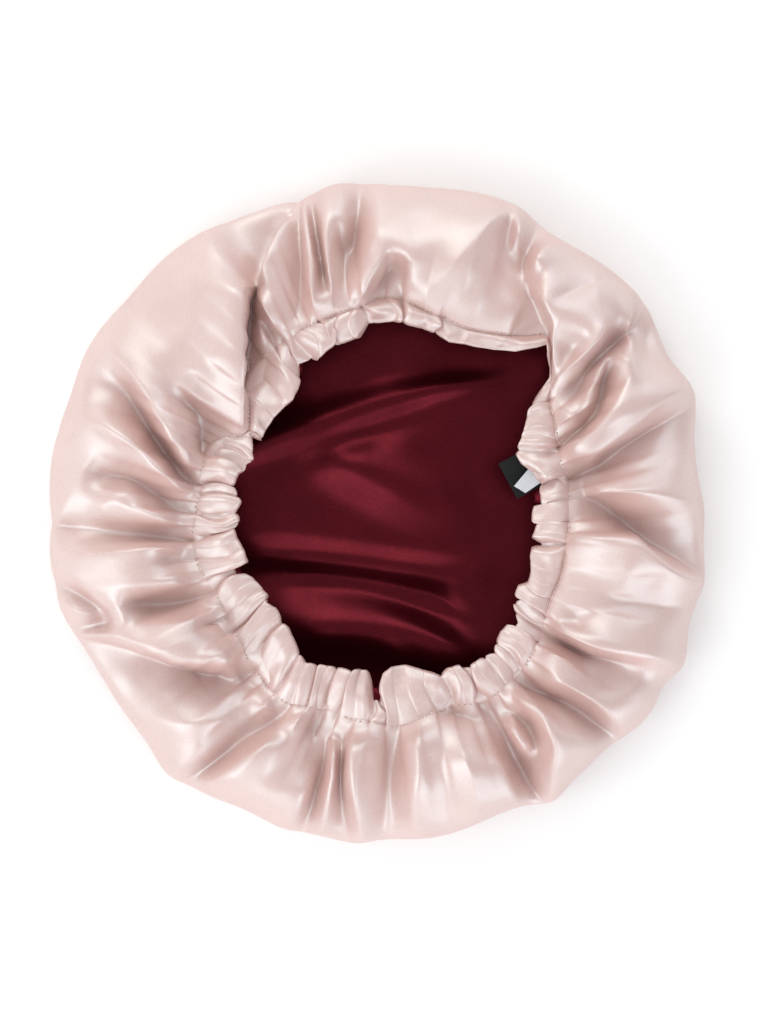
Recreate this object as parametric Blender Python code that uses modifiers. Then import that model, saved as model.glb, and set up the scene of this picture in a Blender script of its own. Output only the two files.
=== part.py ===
"""Reversible satin sleep bonnet, lying crown down with its gathered opening up.

The bonnet is two round satin panels, a blush shell outside and a burgundy lining inside. Both are
gathered into a narrow casing that goes round the opening, and two small labels are sewn in at its edge.
Units are metres, +Z is up, and the origin is on the surface under the middle of the bonnet.
Angles are in degrees, counterclockwise from +X, and lengths in the tables are in millimetres.
"""

import math
from collections import namedtuple

import bmesh
import bpy
import numpy as np

MM = 0.001

# Driving dimensions
SHELL_WALL = 1.2
LINING_WALL = 1.0
LABEL_WALL = 1.0
SEAT_GAP = 0.3  # between two pieces that touch
LAYER_GAP = 2.6  # between the shell's and the lining's walls where they hang free
LINING_SLACK = 1.6  # how much further the lining hangs away from the shell near the casing
CASING_THICK = 4.2  # two layers of satin with the flat elastic between them
CASING_EDGE_THICK = 2.6
STITCH_HEIGHT = 37.0  # top of the casing at its stitched outer edge
OPENING_HEIGHT = 34.0  # top of the casing at the opening
CREST_HEIGHT = 47.0  # top of the puffed side between folds
CREST_PLACE = 0.42  # share of the way from the stitching to the outer edge
EDGE_HEIGHT = 15.0  # where the puffed side is widest
UNDER_ROLL = 17.0  # how far the side curls in before it lies flat
ROLL_POWER = 2.3  # of the puffed side's outer half: 2 is an ellipse, more is squarer
SIDE_SHARES = (0.16, 0.36, 0.55, 0.74, 0.90)  # the side's sections, from the stitching 0 to the edge 1
ROLL_SHARES = (0.55, 1.0)  # the sections under the edge, from the widest place 0 to the flat crown 1

# The bonnet's plan: how far the puffed side, the stitching and the opening lie from the middle.
Plan = namedtuple("Plan", "angle outer stitch opening")
PLAN = (
    Plan(0, 173, 99, 82),
    Plan(9, 171, 99, 87),
    Plan(20, 179, 98, 80),
    Plan(28, 175, 105, 86),
    Plan(38, 180, 120, 107),
    Plan(45, 177, 130, 124),
    Plan(50, 175, 121, 110),
    Plan(57, 174, 112, 104),
    Plan(65, 179, 108, 99),
    Plan(75, 175, 109, 100),
    Plan(88, 175, 113, 101),
    Plan(96, 177, 109, 95),
    Plan(108, 174, 106, 90),
    Plan(116, 174, 104, 90),
    Plan(124, 175, 102, 79),
    Plan(138, 175, 95, 75),
    Plan(150, 177, 95, 76),
    Plan(162, 174, 96, 75),
    Plan(172, 176, 94, 77),
    Plan(184, 175, 97, 77),
    Plan(197, 177, 98, 75),
    Plan(209, 171, 95, 76),
    Plan(222, 171, 99, 76),
    Plan(233, 178, 103, 80),
    Plan(241, 171, 110, 86),
    Plan(255, 176, 107, 87),
    Plan(266, 176, 110, 86),
    Plan(276, 174, 112, 83),
    Plan(288, 173, 107, 89),
    Plan(299, 178, 112, 95),
    Plan(309, 173, 112, 95),
    Plan(320, 178, 108, 93),
    Plan(333, 177, 101, 85),
    Plan(341, 173, 101, 86),
    Plan(350, 175, 100, 84),
)

# The gathers along the casing, in groups: how many there are between two angles, and how deep they are.
Gathers = namedtuple("Gathers", "start end count depth")
GATHERS = (
    Gathers(5, 24, 3, 1.9),
    Gathers(24, 46, 3, 2.2),
    Gathers(46, 74, 3, 0.4),  # the smooth stretch that the elastic leaves flat
    Gathers(74, 98, 4, 1.9),
    Gathers(98, 121, 3, 1.8),
    Gathers(121, 150, 4, 1.6),
    Gathers(150, 178, 4, 2.2),
    Gathers(178, 206, 4, 1.9),
    Gathers(206, 236, 5, 1.9),
    Gathers(236, 266, 4, 2.0),
    Gathers(266, 290, 3, 2.6),
    Gathers(290, 320, 4, 2.0),
    Gathers(320, 338, 3, 2.2),
    Gathers(338, 365, 3, 1.9),
)
STATIONS_PER_GATHER = 3
GATHER_FADE = 0.32  # share of the puffed side over which the gathers fade out
GATHER_SWAY = 1.1  # how far a gather moves the opening's edge in and out
LABEL_CLEARANCE = 2.5  # from the middle line of the opening's edge, which sways that far

# The main folds of the puffed side: where each starts at the stitching and ends at the outer edge,
# how high it stands above the puff or dips below it, and its half width.
FOLD_BEND = 1.4  # above 1, a fold turns most of its way near the stitching
FOLD_TIP_WIDTH = 0.55  # share of its half width that a fold has at the stitching
FOLD_TIP_SWELL = 0.12  # how far into its rise and fall a fold is at the stitching
FOLD_FULLNESS = 0.7  # below 1, a fold keeps its height over more of its length
Fold = namedtuple("Fold", "stitch_angle edge_angle height half_width")
FOLDS = (
    Fold(7, 3, 4.5, 17),
    Fold(11, 18, -6.5, 8),
    Fold(17, 25, 4.5, 11),
    Fold(21, 37, -5.0, 6),
    Fold(33, 45, 5.0, 12),
    Fold(46, 59, -4.5, 6),
    Fold(55, 65, 5.0, 9),
    Fold(66, 74, -2.5, 14),
    Fold(83, 81, 3.5, 13),
    Fold(94, 93, -3.0, 7),
    Fold(100, 99, 3.5, 8),
    Fold(112, 108, -2.0, 9),
    Fold(129, 118, -5.0, 10),
    Fold(145, 138, 5.0, 22),
    Fold(168, 150, 5.0, 11),
    Fold(173, 156, -4.5, 9),
    Fold(177, 164, 4.5, 9),
    Fold(182, 172, -3.5, 9),
    Fold(189, 181, 3.5, 9),
    Fold(194, 187, -2.5, 8),
    Fold(199, 195, 4.0, 9),
    Fold(204, 202, -4.0, 8),
    Fold(228, 208, 4.5, 12),
    Fold(234, 216, -4.5, 10),
    Fold(245, 234, 4.5, 9),
    Fold(251, 245, 3.5, 16),
    Fold(256, 256, -4.0, 6),
    Fold(264, 265, 3.5, 9),
    Fold(273, 273, -3.5, 9),
    Fold(284, 286, 5.0, 18),
    Fold(297, 299, -6.0, 8),
    Fold(304, 304, 5.0, 8),
    Fold(309, 316, -4.5, 9),
    Fold(317, 323, 2.0, 12),
    Fold(323, 328, -3.5, 6),
    Fold(328, 334, 4.5, 8),
    Fold(340, 341, 3.5, 16),
    Fold(352, 348, 3.0, 7),
    Fold(357, 353, -6.0, 8),
)

# The lining's folds on the floor of the bonnet, each a straight low ridge seen through the opening.
FloorFold = namedtuple("FloorFold", "x y direction half_length half_width height")
FLOOR_FOLDS = (
    FloorFold(-6, 52, 14, 62, 13, 6.0),
    FloorFold(18, -22, 176, 66, 9, 5.0),
    FloorFold(44, -44, 152, 46, 9, 5.5),
    FloorFold(-24, -52, 164, 44, 12, 5.0),
    FloorFold(-48, 14, 150, 36, 14, 3.0),
)
FLOOR_SHARES = (0.62, 0.42, 0.21)  # the floor's sections, as shares of the way out to the outer edge

# Colours as the photo shows them, without the highlights
BLUSH = (0.71, 0.52, 0.50)
BURGUNDY = (0.12, 0.008, 0.018)
BLACK = (0.012, 0.013, 0.014)
WHITE = (0.62, 0.63, 0.66)
SATIN_ROUGHNESS = 0.34
LABEL_ROUGHNESS = 0.7

# The labels: the middle of the free edge, which way the strip runs from there to the casing, its size,
# and how high it lies there and how far its free edge droops.
Label = namedtuple("Label", "name x y heading width length height droop colour")
LABELS = (
    Label("woven_label", 67.5, 17.5, 25, 22.5, 21, 31.2, 2.0, BLACK),
    Label("care_label", 73.7, 19.4, -30, 11, 15, 33.1, 0.2, WHITE),
)


def periodic(angles, table, column):
    """A smooth closed curve through one column of a table whose first column is the angle."""
    knots = np.array([row[0] for row in table], float)
    values = np.array([getattr(row, column) for row in table], float)
    count = len(knots)
    place = np.mod(np.asarray(angles, float) - knots[0], 360.0) + knots[0]
    i = np.searchsorted(knots, place, side="right") - 1
    after = (i + 1) % count
    gap = np.mod(knots[after] - knots[i], 360.0)
    s = (place - knots[i]) / gap

    def slope(k):
        left, right = (k - 1) % count, (k + 1) % count
        return (values[right] - values[left]) / np.mod(knots[right] - knots[left], 360.0)

    s2, s3 = s * s, s * s * s
    start = (2 * s3 - 3 * s2 + 1) * values[i] + (s3 - 2 * s2 + s) * gap * slope(i)
    return start + (3 * s2 - 2 * s3) * values[after] + (s3 - s2) * gap * slope(after)


def angle_between(a, b):
    """The signed angle from b to a, from -180 to 180 degrees."""
    return np.mod(a - b + 180.0, 360.0) - 180.0


def gather_stations():
    """The sections' angles, so many to each gather, with each one's height in its gather and its depth."""
    angles, waves, depths = [], [], []
    for group in GATHERS:
        steps = group.count * STATIONS_PER_GATHER
        for i in range(steps):
            angles.append(group.start + (group.end - group.start) * i / steps)
            waves.append(math.cos(2 * math.pi * i / STATIONS_PER_GATHER))
            depths.append(group.depth)
    order = np.argsort(np.mod(angles, 360.0))
    return (np.mod(angles, 360.0)[order], np.array(waves)[order], np.array(depths)[order])


def puff_height(share):
    """The puffed side's height over the surface, from the stitching (0) to the outer edge (1)."""
    rise = np.clip(1 - share / CREST_PLACE, 0, 1)
    fall = np.clip((share - CREST_PLACE) / (1 - CREST_PLACE), 0, 1)
    inner = CREST_HEIGHT - (CREST_HEIGHT - STITCH_HEIGHT) * rise**2
    outer = (CREST_HEIGHT - EDGE_HEIGHT) * (1 - (1 - fall**ROLL_POWER) ** (1 / ROLL_POWER))
    return inner - outer


def fold_height(angle, radius, share):
    """What the main folds add to the puff at one share of the way to the outer edge."""
    added = np.zeros_like(angle)
    if share == 1:
        return added
    swell = math.sin(math.pi * (FOLD_TIP_SWELL + (1 - FOLD_TIP_SWELL) * share)) ** FOLD_FULLNESS
    for fold in FOLDS:
        turn = angle_between(fold.stitch_angle, fold.edge_angle)
        centre = fold.edge_angle + turn * (1 - share) ** FOLD_BEND
        away = np.radians(angle_between(angle, centre)) * radius
        width = fold.half_width * (FOLD_TIP_WIDTH + (1 - FOLD_TIP_WIDTH) * share)
        added += fold.height * swell * np.exp(-((away / width) ** 2))
    return added


def side_height(angle, wave, depth, share):
    """The puffed side's height at one section, with its folds and the ends of the gathers."""
    outer, stitch, _ = plan_radii(angle)
    radius = stitch + (outer - stitch) * share
    gathers = depth * wave * max(0.0, 1 - share / GATHER_FADE)
    return puff_height(share) + fold_height(angle, radius, share) + gathers


def plan_radii(angle):
    return tuple(periodic(angle, PLAN, name) for name in ("outer", "stitch", "opening"))


def middle_of_plan():
    """The middle of the outer edge's box, which goes to the origin."""
    angle = np.arange(0, 360, 1.0)
    outer = periodic(angle, PLAN, "outer")
    x, y = outer * np.cos(np.radians(angle)), outer * np.sin(np.radians(angle))
    return (x.max() + x.min()) / 2, (y.max() + y.min()) / 2


MIDDLE = middle_of_plan()


def ring(angle, radius, height):
    """Points of one closed ring, in metres, centred on the origin."""
    turn = np.radians(angle)
    x = radius * np.cos(turn) - MIDDLE[0]
    y = radius * np.sin(turn) - MIDDLE[1]
    return np.column_stack([x, y, np.broadcast_to(height, x.shape)]) * MM


def loft(name, rings, colour, roughness, closed=False, pole=None):
    """A mesh object through rings of points. It ends in a middle point, or closes on its first ring."""
    mesh = bpy.data.meshes.new(name)
    builder = bmesh.new()
    rows = [[builder.verts.new(point) for point in points] for points in rings]
    count = len(rows[0])
    pairs = list(zip(rows, rows[1:]))
    if closed:
        pairs.append((rows[-1], rows[0]))
    for inner, outer in pairs:
        for i in range(count):
            j = (i + 1) % count
            builder.faces.new((inner[i], outer[i], outer[j], inner[j]))
    if pole is not None:
        middle = builder.verts.new(pole)
        for i in range(count):
            builder.faces.new((rows[-1][i], middle, rows[-1][(i + 1) % count]))
    builder.to_mesh(mesh)
    builder.free()
    return dressed(name, mesh, colour, roughness)


def dressed(name, mesh, colour, roughness):
    """An object of this mesh, with its own material, in the bonnet's collection."""
    material = bpy.data.materials.new(name)
    material.use_nodes = True
    surface = material.node_tree.nodes["Principled BSDF"]
    surface.inputs["Base Color"].default_value = (*colour, 1.0)
    surface.inputs["Roughness"].default_value = roughness
    surface.inputs["Metallic"].default_value = 0.0
    mesh.materials.append(material)
    mesh.shade_smooth()
    mesh.set_sharp_from_angle(angle=math.radians(60))
    obj = bpy.data.objects.new(name, mesh)
    bonnet.objects.link(obj)
    return obj


def thicken(obj, wall):
    """Gives an open surface a wall on its inner side."""
    solidify = obj.modifiers.new("wall", "SOLIDIFY")
    solidify.thickness = wall * MM
    solidify.offset = -1.0
    solidify.use_even_offset = False
    solidify.use_rim = True


def under_roll(share, lowest):
    """How far in from the outer edge, and how high, the side is as it rolls under to lie flat."""
    turn = share * math.pi / 2
    height = lowest + (EDGE_HEIGHT - lowest) * (1 - math.sin(turn))
    return UNDER_ROLL * (1 - math.cos(turn)), height


def make_shell(angle, wave, depth):
    """The blush satin panel: the puffed side, and the flat crown that it lies on."""
    outer, stitch, _ = plan_radii(angle)
    rings = []
    for share in (0.0, *SIDE_SHARES, 1.0):
        radius = stitch + (outer - stitch) * share
        rings.append(ring(angle, radius, side_height(angle, wave, depth, share)))
    for share in ROLL_SHARES:
        roll_in, height = under_roll(share, 0.0)
        rings.append(ring(angle, outer - roll_in, height))
    shell = loft("shell", rings, BLUSH, SATIN_ROUGHNESS, pole=(0.0, 0.0, 0.0))
    thicken(shell, SHELL_WALL)


def casing_top(share, wave, depth):
    """The height of the casing's top from the opening's edge (0) to the stitching (1)."""
    flat = OPENING_HEIGHT + (STITCH_HEIGHT - OPENING_HEIGHT) * share
    return flat + depth * wave


def make_casing(angle, wave, depth):
    """The gathered band round the opening, folded over the elastic and stitched along its outer edge."""
    _, stitch, opening = plan_radii(angle)
    outside = stitch - SEAT_GAP
    inside = opening + GATHER_SWAY * np.roll(wave, 1) * depth / 2
    crown = (CASING_THICK - CASING_EDGE_THICK) / 2
    places = (
        (1.0, 0.0),
        (0.5, crown),
        (0.0, 0.0),
        (0.0, -CASING_EDGE_THICK),
        (0.5, -CASING_EDGE_THICK - crown),
        (1.0, -CASING_EDGE_THICK),
    )
    rings = []
    for share, lift in places:
        radius = inside + (outside - inside) * share
        rings.append(ring(angle, radius, casing_top(share, wave, depth) + lift))
    loft("casing", rings[::-1], BLUSH, SATIN_ROUGHNESS, closed=True)


def floor_height(x, y):
    """The lining's folds where it lies on the crown, at points in millimetres."""
    added = np.zeros_like(x)
    for fold in FLOOR_FOLDS:
        turn = math.radians(fold.direction)
        along = (x - fold.x) * math.cos(turn) + (y - fold.y) * math.sin(turn)
        across = (y - fold.y) * math.cos(turn) - (x - fold.x) * math.sin(turn)
        ends = np.exp(-((along / fold.half_length) ** 4))
        added = np.maximum(added, fold.height * ends * np.exp(-((across / fold.half_width) ** 2)))
    return added


def make_lining(angle, wave, depth):
    """The burgundy satin bag inside, from under the casing round the puffed side to the crown.

    It has every second of the shell's sections, and hangs below the lowest of the shell's heights there.
    """
    outer, stitch, opening = (radii[::2] for radii in plan_radii(angle))
    sparse = angle[::2]
    casing_side = CASING_EDGE_THICK + (CASING_THICK - CASING_EDGE_THICK) / 2
    under_casing = casing_side + depth.max() + SEAT_GAP
    rings = []
    for share in (0.0, 1.0):
        radius = opening + (stitch - opening) * share
        rings.append(ring(sparse, radius, casing_top(share, 0.0, 0.0) - under_casing))
    inset = LAYER_GAP + SHELL_WALL
    for share in SIDE_SHARES:
        over = side_height(angle, wave, depth, share)
        lowest = np.minimum(over, np.minimum(np.roll(over, 1), np.roll(over, -1)))[::2]
        radius = stitch + (outer - inset - stitch) * share
        rings.append(ring(sparse, radius, lowest - inset - LINING_SLACK * (1 - share)))
    seat = SHELL_WALL + SEAT_GAP
    for share in (0.0, *ROLL_SHARES):
        roll_in, height = under_roll(share, seat)
        rings.append(ring(sparse, outer - inset - roll_in, height))
    turn = np.radians(sparse)
    for share in FLOOR_SHARES:
        radius = outer * share
        lift = floor_height(radius * np.cos(turn) - MIDDLE[0], radius * np.sin(turn) - MIDDLE[1])
        rings.append(ring(sparse, radius, seat + lift))
    centre = floor_height(np.zeros(1), np.zeros(1))[0]
    lining = loft("lining", rings, BURGUNDY, SATIN_ROUGHNESS, pole=(0.0, 0.0, (seat + centre) * MM))
    thicken(lining, LINING_WALL)


def make_label(label):
    """A small label: a strip from its free edge out to the opening's edge, which it follows."""
    mesh = bpy.data.meshes.new(label.name)
    builder = bmesh.new()
    bmesh.ops.create_grid(builder, x_segments=4, y_segments=4, size=0.5)
    turn = math.radians(label.heading)
    for vertex in builder.verts:
        along = vertex.co.x + 0.5
        run, side = along * label.length, vertex.co.y * label.width
        x = label.x + run * math.cos(turn) - side * math.sin(turn)
        y = label.y + run * math.sin(turn) + side * math.cos(turn)
        x, y = inside_opening(x + MIDDLE[0], y + MIDDLE[1])
        vertex.co = ring_point(x, y, label.height - label.droop * (1 - along) ** 2)
    builder.to_mesh(mesh)
    builder.free()
    thicken(dressed(label.name, mesh, label.colour, LABEL_ROUGHNESS), LABEL_WALL)


def inside_opening(x, y):
    """The point itself or, where the casing covers it, the nearest one just inside the opening's edge."""
    reach = math.hypot(x, y)
    edge = float(periodic(math.degrees(math.atan2(y, x)), PLAN, "opening"))
    shrink = min(1.0, (edge - LABEL_CLEARANCE) / reach)
    return x * shrink, y * shrink


def ring_point(x, y, height):
    """A point of the plan, in metres, centred on the origin."""
    return (x - MIDDLE[0]) * MM, (y - MIDDLE[1]) * MM, height * MM


for old in list(bpy.data.objects):
    bpy.data.objects.remove(old)
bonnet = bpy.data.collections.new("sleep_bonnet")
bpy.context.scene.collection.children.link(bonnet)

station_angle, station_wave, station_depth = gather_stations()
make_shell(station_angle, station_wave, station_depth)
make_casing(station_angle, station_wave, station_depth)
make_lining(station_angle, station_wave, station_depth)
for label in LABELS:
    make_label(label)
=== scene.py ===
"""The looks of a reversible satin sleep bonnet that lies on its crown, with its gathered opening up.

The sections follow the bonnet as it is sewn: the blush panel with its casing, the stitches, the burgundy
lining and the labels, and then the studio. Lengths are in millimetres until a mesh is made, which is in
metres. Angles are in degrees, counterclockwise from +X, round the middle of the opening.
"""

import math
from collections import namedtuple

import bpy
import numpy as np
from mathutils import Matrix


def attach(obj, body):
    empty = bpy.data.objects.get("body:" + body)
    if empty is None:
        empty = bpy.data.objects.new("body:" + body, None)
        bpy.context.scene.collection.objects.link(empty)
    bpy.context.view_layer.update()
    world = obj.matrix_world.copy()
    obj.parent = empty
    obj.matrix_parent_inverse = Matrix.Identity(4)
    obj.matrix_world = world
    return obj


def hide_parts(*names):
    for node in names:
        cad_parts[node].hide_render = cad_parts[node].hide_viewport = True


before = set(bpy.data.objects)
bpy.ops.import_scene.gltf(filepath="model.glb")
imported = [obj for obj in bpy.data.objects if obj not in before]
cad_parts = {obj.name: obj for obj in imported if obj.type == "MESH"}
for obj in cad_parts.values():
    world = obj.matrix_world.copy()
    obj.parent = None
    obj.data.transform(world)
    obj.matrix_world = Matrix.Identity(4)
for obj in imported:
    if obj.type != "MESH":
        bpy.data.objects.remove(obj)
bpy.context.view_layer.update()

# ---------------------------------------------------------------------------------------------------
# The blush panel: one round piece of satin. Its rim is folded over a flat elastic and stitched down, which
# gathers it into the casing round the opening. From there it puffs out in folds, rolls under at its outer
# edge and lies flat as the crown. It is a grid, with its rows round the opening, that settles as cloth.

MM = 0.001
CENTRE = (0.9, -0.4)  # the middle of the opening, from the origin
PANEL_RADIUS = 290.0  # of the round piece of cloth, laid flat
CASING_WIDTH = 17.0  # from the stitches to the fold
LIP_HEIGHT = 35.0  # of the casing's fold, which is the opening's lip, above the floor
SEAM_HEIGHT = 36.0  # of the stitches
CREST_HEIGHT = 42.0  # of the puffed side without its folds
CREST_SHARE = 0.42  # how far the crest lies on the way from the stitches to the outer edge
EDGE_HEIGHT = 15.0  # where the puffed side turns to roll under
UNDER_ROLL = 17.0  # how far in from the outer edge the cloth comes down on the floor
CLEAR = 0.2  # between the cloth and the floor
MEAN_SEAM, MEAN_DEPTH = 104, 71  # of the puffed side: where it starts from the middle, and how wide it is

# The bonnet from above, as (angle, distance from the middle): its outer edge and its stitches.
OUTER_OUTLINE = (
    (0, 171), (8, 168.5), (13, 171), (20, 178.6), (28, 174), (38, 180), (45, 177.5), (57, 173.5),
    (66, 178.5), (75, 176), (80, 174), (88, 173.5), (95, 176.5), (105, 173.5), (120, 175.5), (130, 176),
    (140, 174.5), (149.5, 177), (160, 174.4), (167, 175.4), (180, 175), (200, 176.5), (205, 173.3),
    (210, 171.2), (216, 171), (224, 172.3), (232.5, 178.6), (238, 175), (245, 171.7), (255, 175.4),
    (260, 175), (265, 176.8), (270, 174), (280, 173.5), (296, 173), (300, 178.6), (306, 174), (312, 173),
    (318, 176.5), (325, 177), (328, 175), (333.5, 178.6), (340, 173.6), (344, 173.8), (348, 176.5),
    (355, 172.3),
)
SEAM_OUTLINE = (
    (0, 99), (9, 99), (20, 98), (28, 104), (34, 108), (38.5, 117), (41, 121.5), (44.5, 128), (46.5, 128),
    (50, 121), (57, 113), (65, 108), (75, 109), (88, 113), (96, 109), (108, 106), (116, 104), (124, 102),
    (133, 99), (138, 96), (141, 92), (145, 88), (149.5, 84.5), (152, 87), (155, 92), (158, 95), (162, 96),
    (172, 94), (184, 97), (197, 98), (209, 95), (222, 99), (233, 103), (241, 110), (255, 107), (266, 110),
    (276, 112), (288, 107), (299, 112), (309, 112), (320, 108), (333, 101), (341, 101), (350, 100),
)

# The opening's lip, tab by tab: (angle, distance from the middle).
LIP_OUTLINE = (
    (0, 81), (2.8, 81), (3.2, 86), (9.5, 86), (12, 86), (16, 84), (20, 80), (24, 78), (25, 82), (27, 85),
    (30, 90), (34, 96), (36, 100), (37.5, 106), (38.5, 114), (40, 118), (43, 122), (45, 126), (46.5, 121),
    (50, 112), (55, 106), (60, 102), (64, 100), (68, 98), (73.5, 100), (82, 101), (86, 102), (92.5, 101),
    (94, 98), (96, 94), (103, 92), (105, 94), (106.5, 92), (113, 88), (115, 90), (118, 90), (119.5, 86),
    (121.5, 82), (124, 79), (128, 76), (138, 76), (146, 75), (149, 74), (149.8, 80), (151, 78), (154, 76),
    (158, 73), (160, 76), (163, 75), (165, 78), (170, 79), (173.5, 76), (176, 74), (179, 76), (182, 75),
    (186, 78), (190, 77), (194, 75), (199.5, 75), (200.3, 83), (204, 83), (204.7, 79), (208, 76),
    (213, 74.5), (217, 74), (219, 77), (223, 75), (226, 76), (228, 78), (232, 78), (236, 81), (240, 85),
    (244, 89), (248, 87), (255, 85), (260, 85), (263, 84), (266, 84), (267.3, 88), (268.2, 99),
    (269.7, 101), (270.5, 91), (272, 85), (275, 82), (280, 82), (284, 85), (290.5, 91), (293, 90),
    (297, 91), (298.5, 94), (305, 94), (309.5, 96), (312, 92), (315, 90), (318, 90), (320, 94), (322, 94),
    (323.5, 89), (326, 86), (328, 88), (329.5, 84), (333, 83), (335.7, 87), (340, 86), (345, 83), (348, 83),
    (349, 87), (350.5, 82), (356.5, 84), (357.5, 81),
)

# The creases between the casing's gathers: their angle at the stitches and at the lip, and how deep they
# are, from a slight wrinkle to 1, where the elastic pulls one gather right under the next.
GatherCrease = namedtuple("GatherCrease", "seam lip depth")
CREASES = tuple(
    GatherCrease(*row)
    for row in (
        (4, 2.9, 0.8), (6.8, 6.5, 0.3), (10, 10, 1), (15, 16.5, 0.25), (20.3, 24.6, 1), (22.6, 26.8, 0.5),
        (26, 28.5, 0.3), (30, 32, 0.4), (33.5, 34.7, 0.8), (37, 37.6, 1), (45.5, 45, 0.9), (54, 54, 0.15),
        (64, 63, 0.2), (69, 68.5, 0.15), (73, 73.5, 1), (78, 77.3, 0.45), (84, 83.4, 0.8),
        (88.5, 86.3, 0.4), (95.2, 93.2, 1), (98, 97.5, 0.35), (102.4, 102.2, 0.5), (108, 105, 1),
        (110.5, 109, 0.3), (113, 112.4, 0.5), (116.5, 114.3, 0.8), (119.3, 118.6, 0.7), (122.3, 121.2, 1),
        (127, 126, 0.3), (132, 132, 0.25), (138.5, 139, 0.3), (144, 145, 0.3), (149.8, 148.8, 1),
        (152.3, 151.6, 0.5), (155, 155, 0.4), (158, 158.2, 0.9), (161.4, 163.5, 0.9), (166, 167, 0.3),
        (170.8, 170.2, 1), (173.6, 173.6, 0.7), (176.5, 176.2, 0.35), (180, 180, 1), (184, 183, 0.3),
        (188.6, 185.4, 1), (190.8, 189.5, 0.35), (194.3, 193.7, 0.6), (197.5, 197, 0.25),
        (201.2, 200.3, 0.9), (205.9, 204.3, 1), (210, 209.5, 0.3), (213.7, 214, 0.5), (219.2, 217.8, 1),
        (221.5, 222, 0.35), (225, 226, 0.5), (231.5, 228.9, 1), (235, 234.5, 0.4), (239.5, 240.4, 0.9),
        (245.5, 244.8, 0.4), (249.3, 248, 1), (252, 251.5, 0.4), (254.3, 254.6, 1), (258.1, 260.6, 1),
        (263, 264, 0.4), (267, 268.2, 1), (271.5, 270.2, 0.9), (275.5, 275.5, 0.3), (281, 280, 0.3),
        (286, 286, 0.25), (290.3, 290.4, 1), (294, 294, 0.35), (297, 297.4, 1), (300, 300.2, 0.8),
        (303.2, 303, 0.4), (306.5, 306, 1), (309.3, 309.6, 0.9), (312, 311.8, 0.9), (316, 316, 0.3),
        (320.6, 320, 1), (324, 323.5, 0.9), (326, 326.3, 0.8), (328, 329, 1), (333.2, 334.6, 0.5),
        (338, 338, 0.2), (343.5, 343, 0.2), (350.4, 349.2, 1), (353.5, 353, 0.3), (357.4, 356.7, 1),
    )
)
SMOOTH_STRETCH = (45, 73)  # where the casing is hardly gathered
SMOOTH_HEIGHT = 1.2  # how far it swells up there
FLAP_ANGLE, FLAP_SPREAD = 142, 11  # where the puffed side lies over the stitches in one broad flap
FLAP_CALM = 0.85  # how much less the flap is gathered
FULL_CREASE = 0.8  # a crease this deep parts one tab of the casing from the next
CREASE_CLOTH = 5.0  # the cloth that lies hidden in the deepest crease
CROWDING = 0.11  # how closely the columns stand at a crease
WRINKLE_DEPTH = 0.6  # a crease less deep than this is only a wrinkle
WRINKLE_SHARE = 0.45  # of its depth that it still has in the swelling
PILLOW_POWER = 2.2  # how full a gather is across
LOW_TAB, TAB_HEIGHT = 1.8, 5.2  # the least and the most that a tab swells up
TAB_SHARE = 0.38  # of a tab's width, up to that
FIRST_REACH, LAST_REACH = 6.0, 20.0  # how far the gathers run on past the stitches

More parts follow.
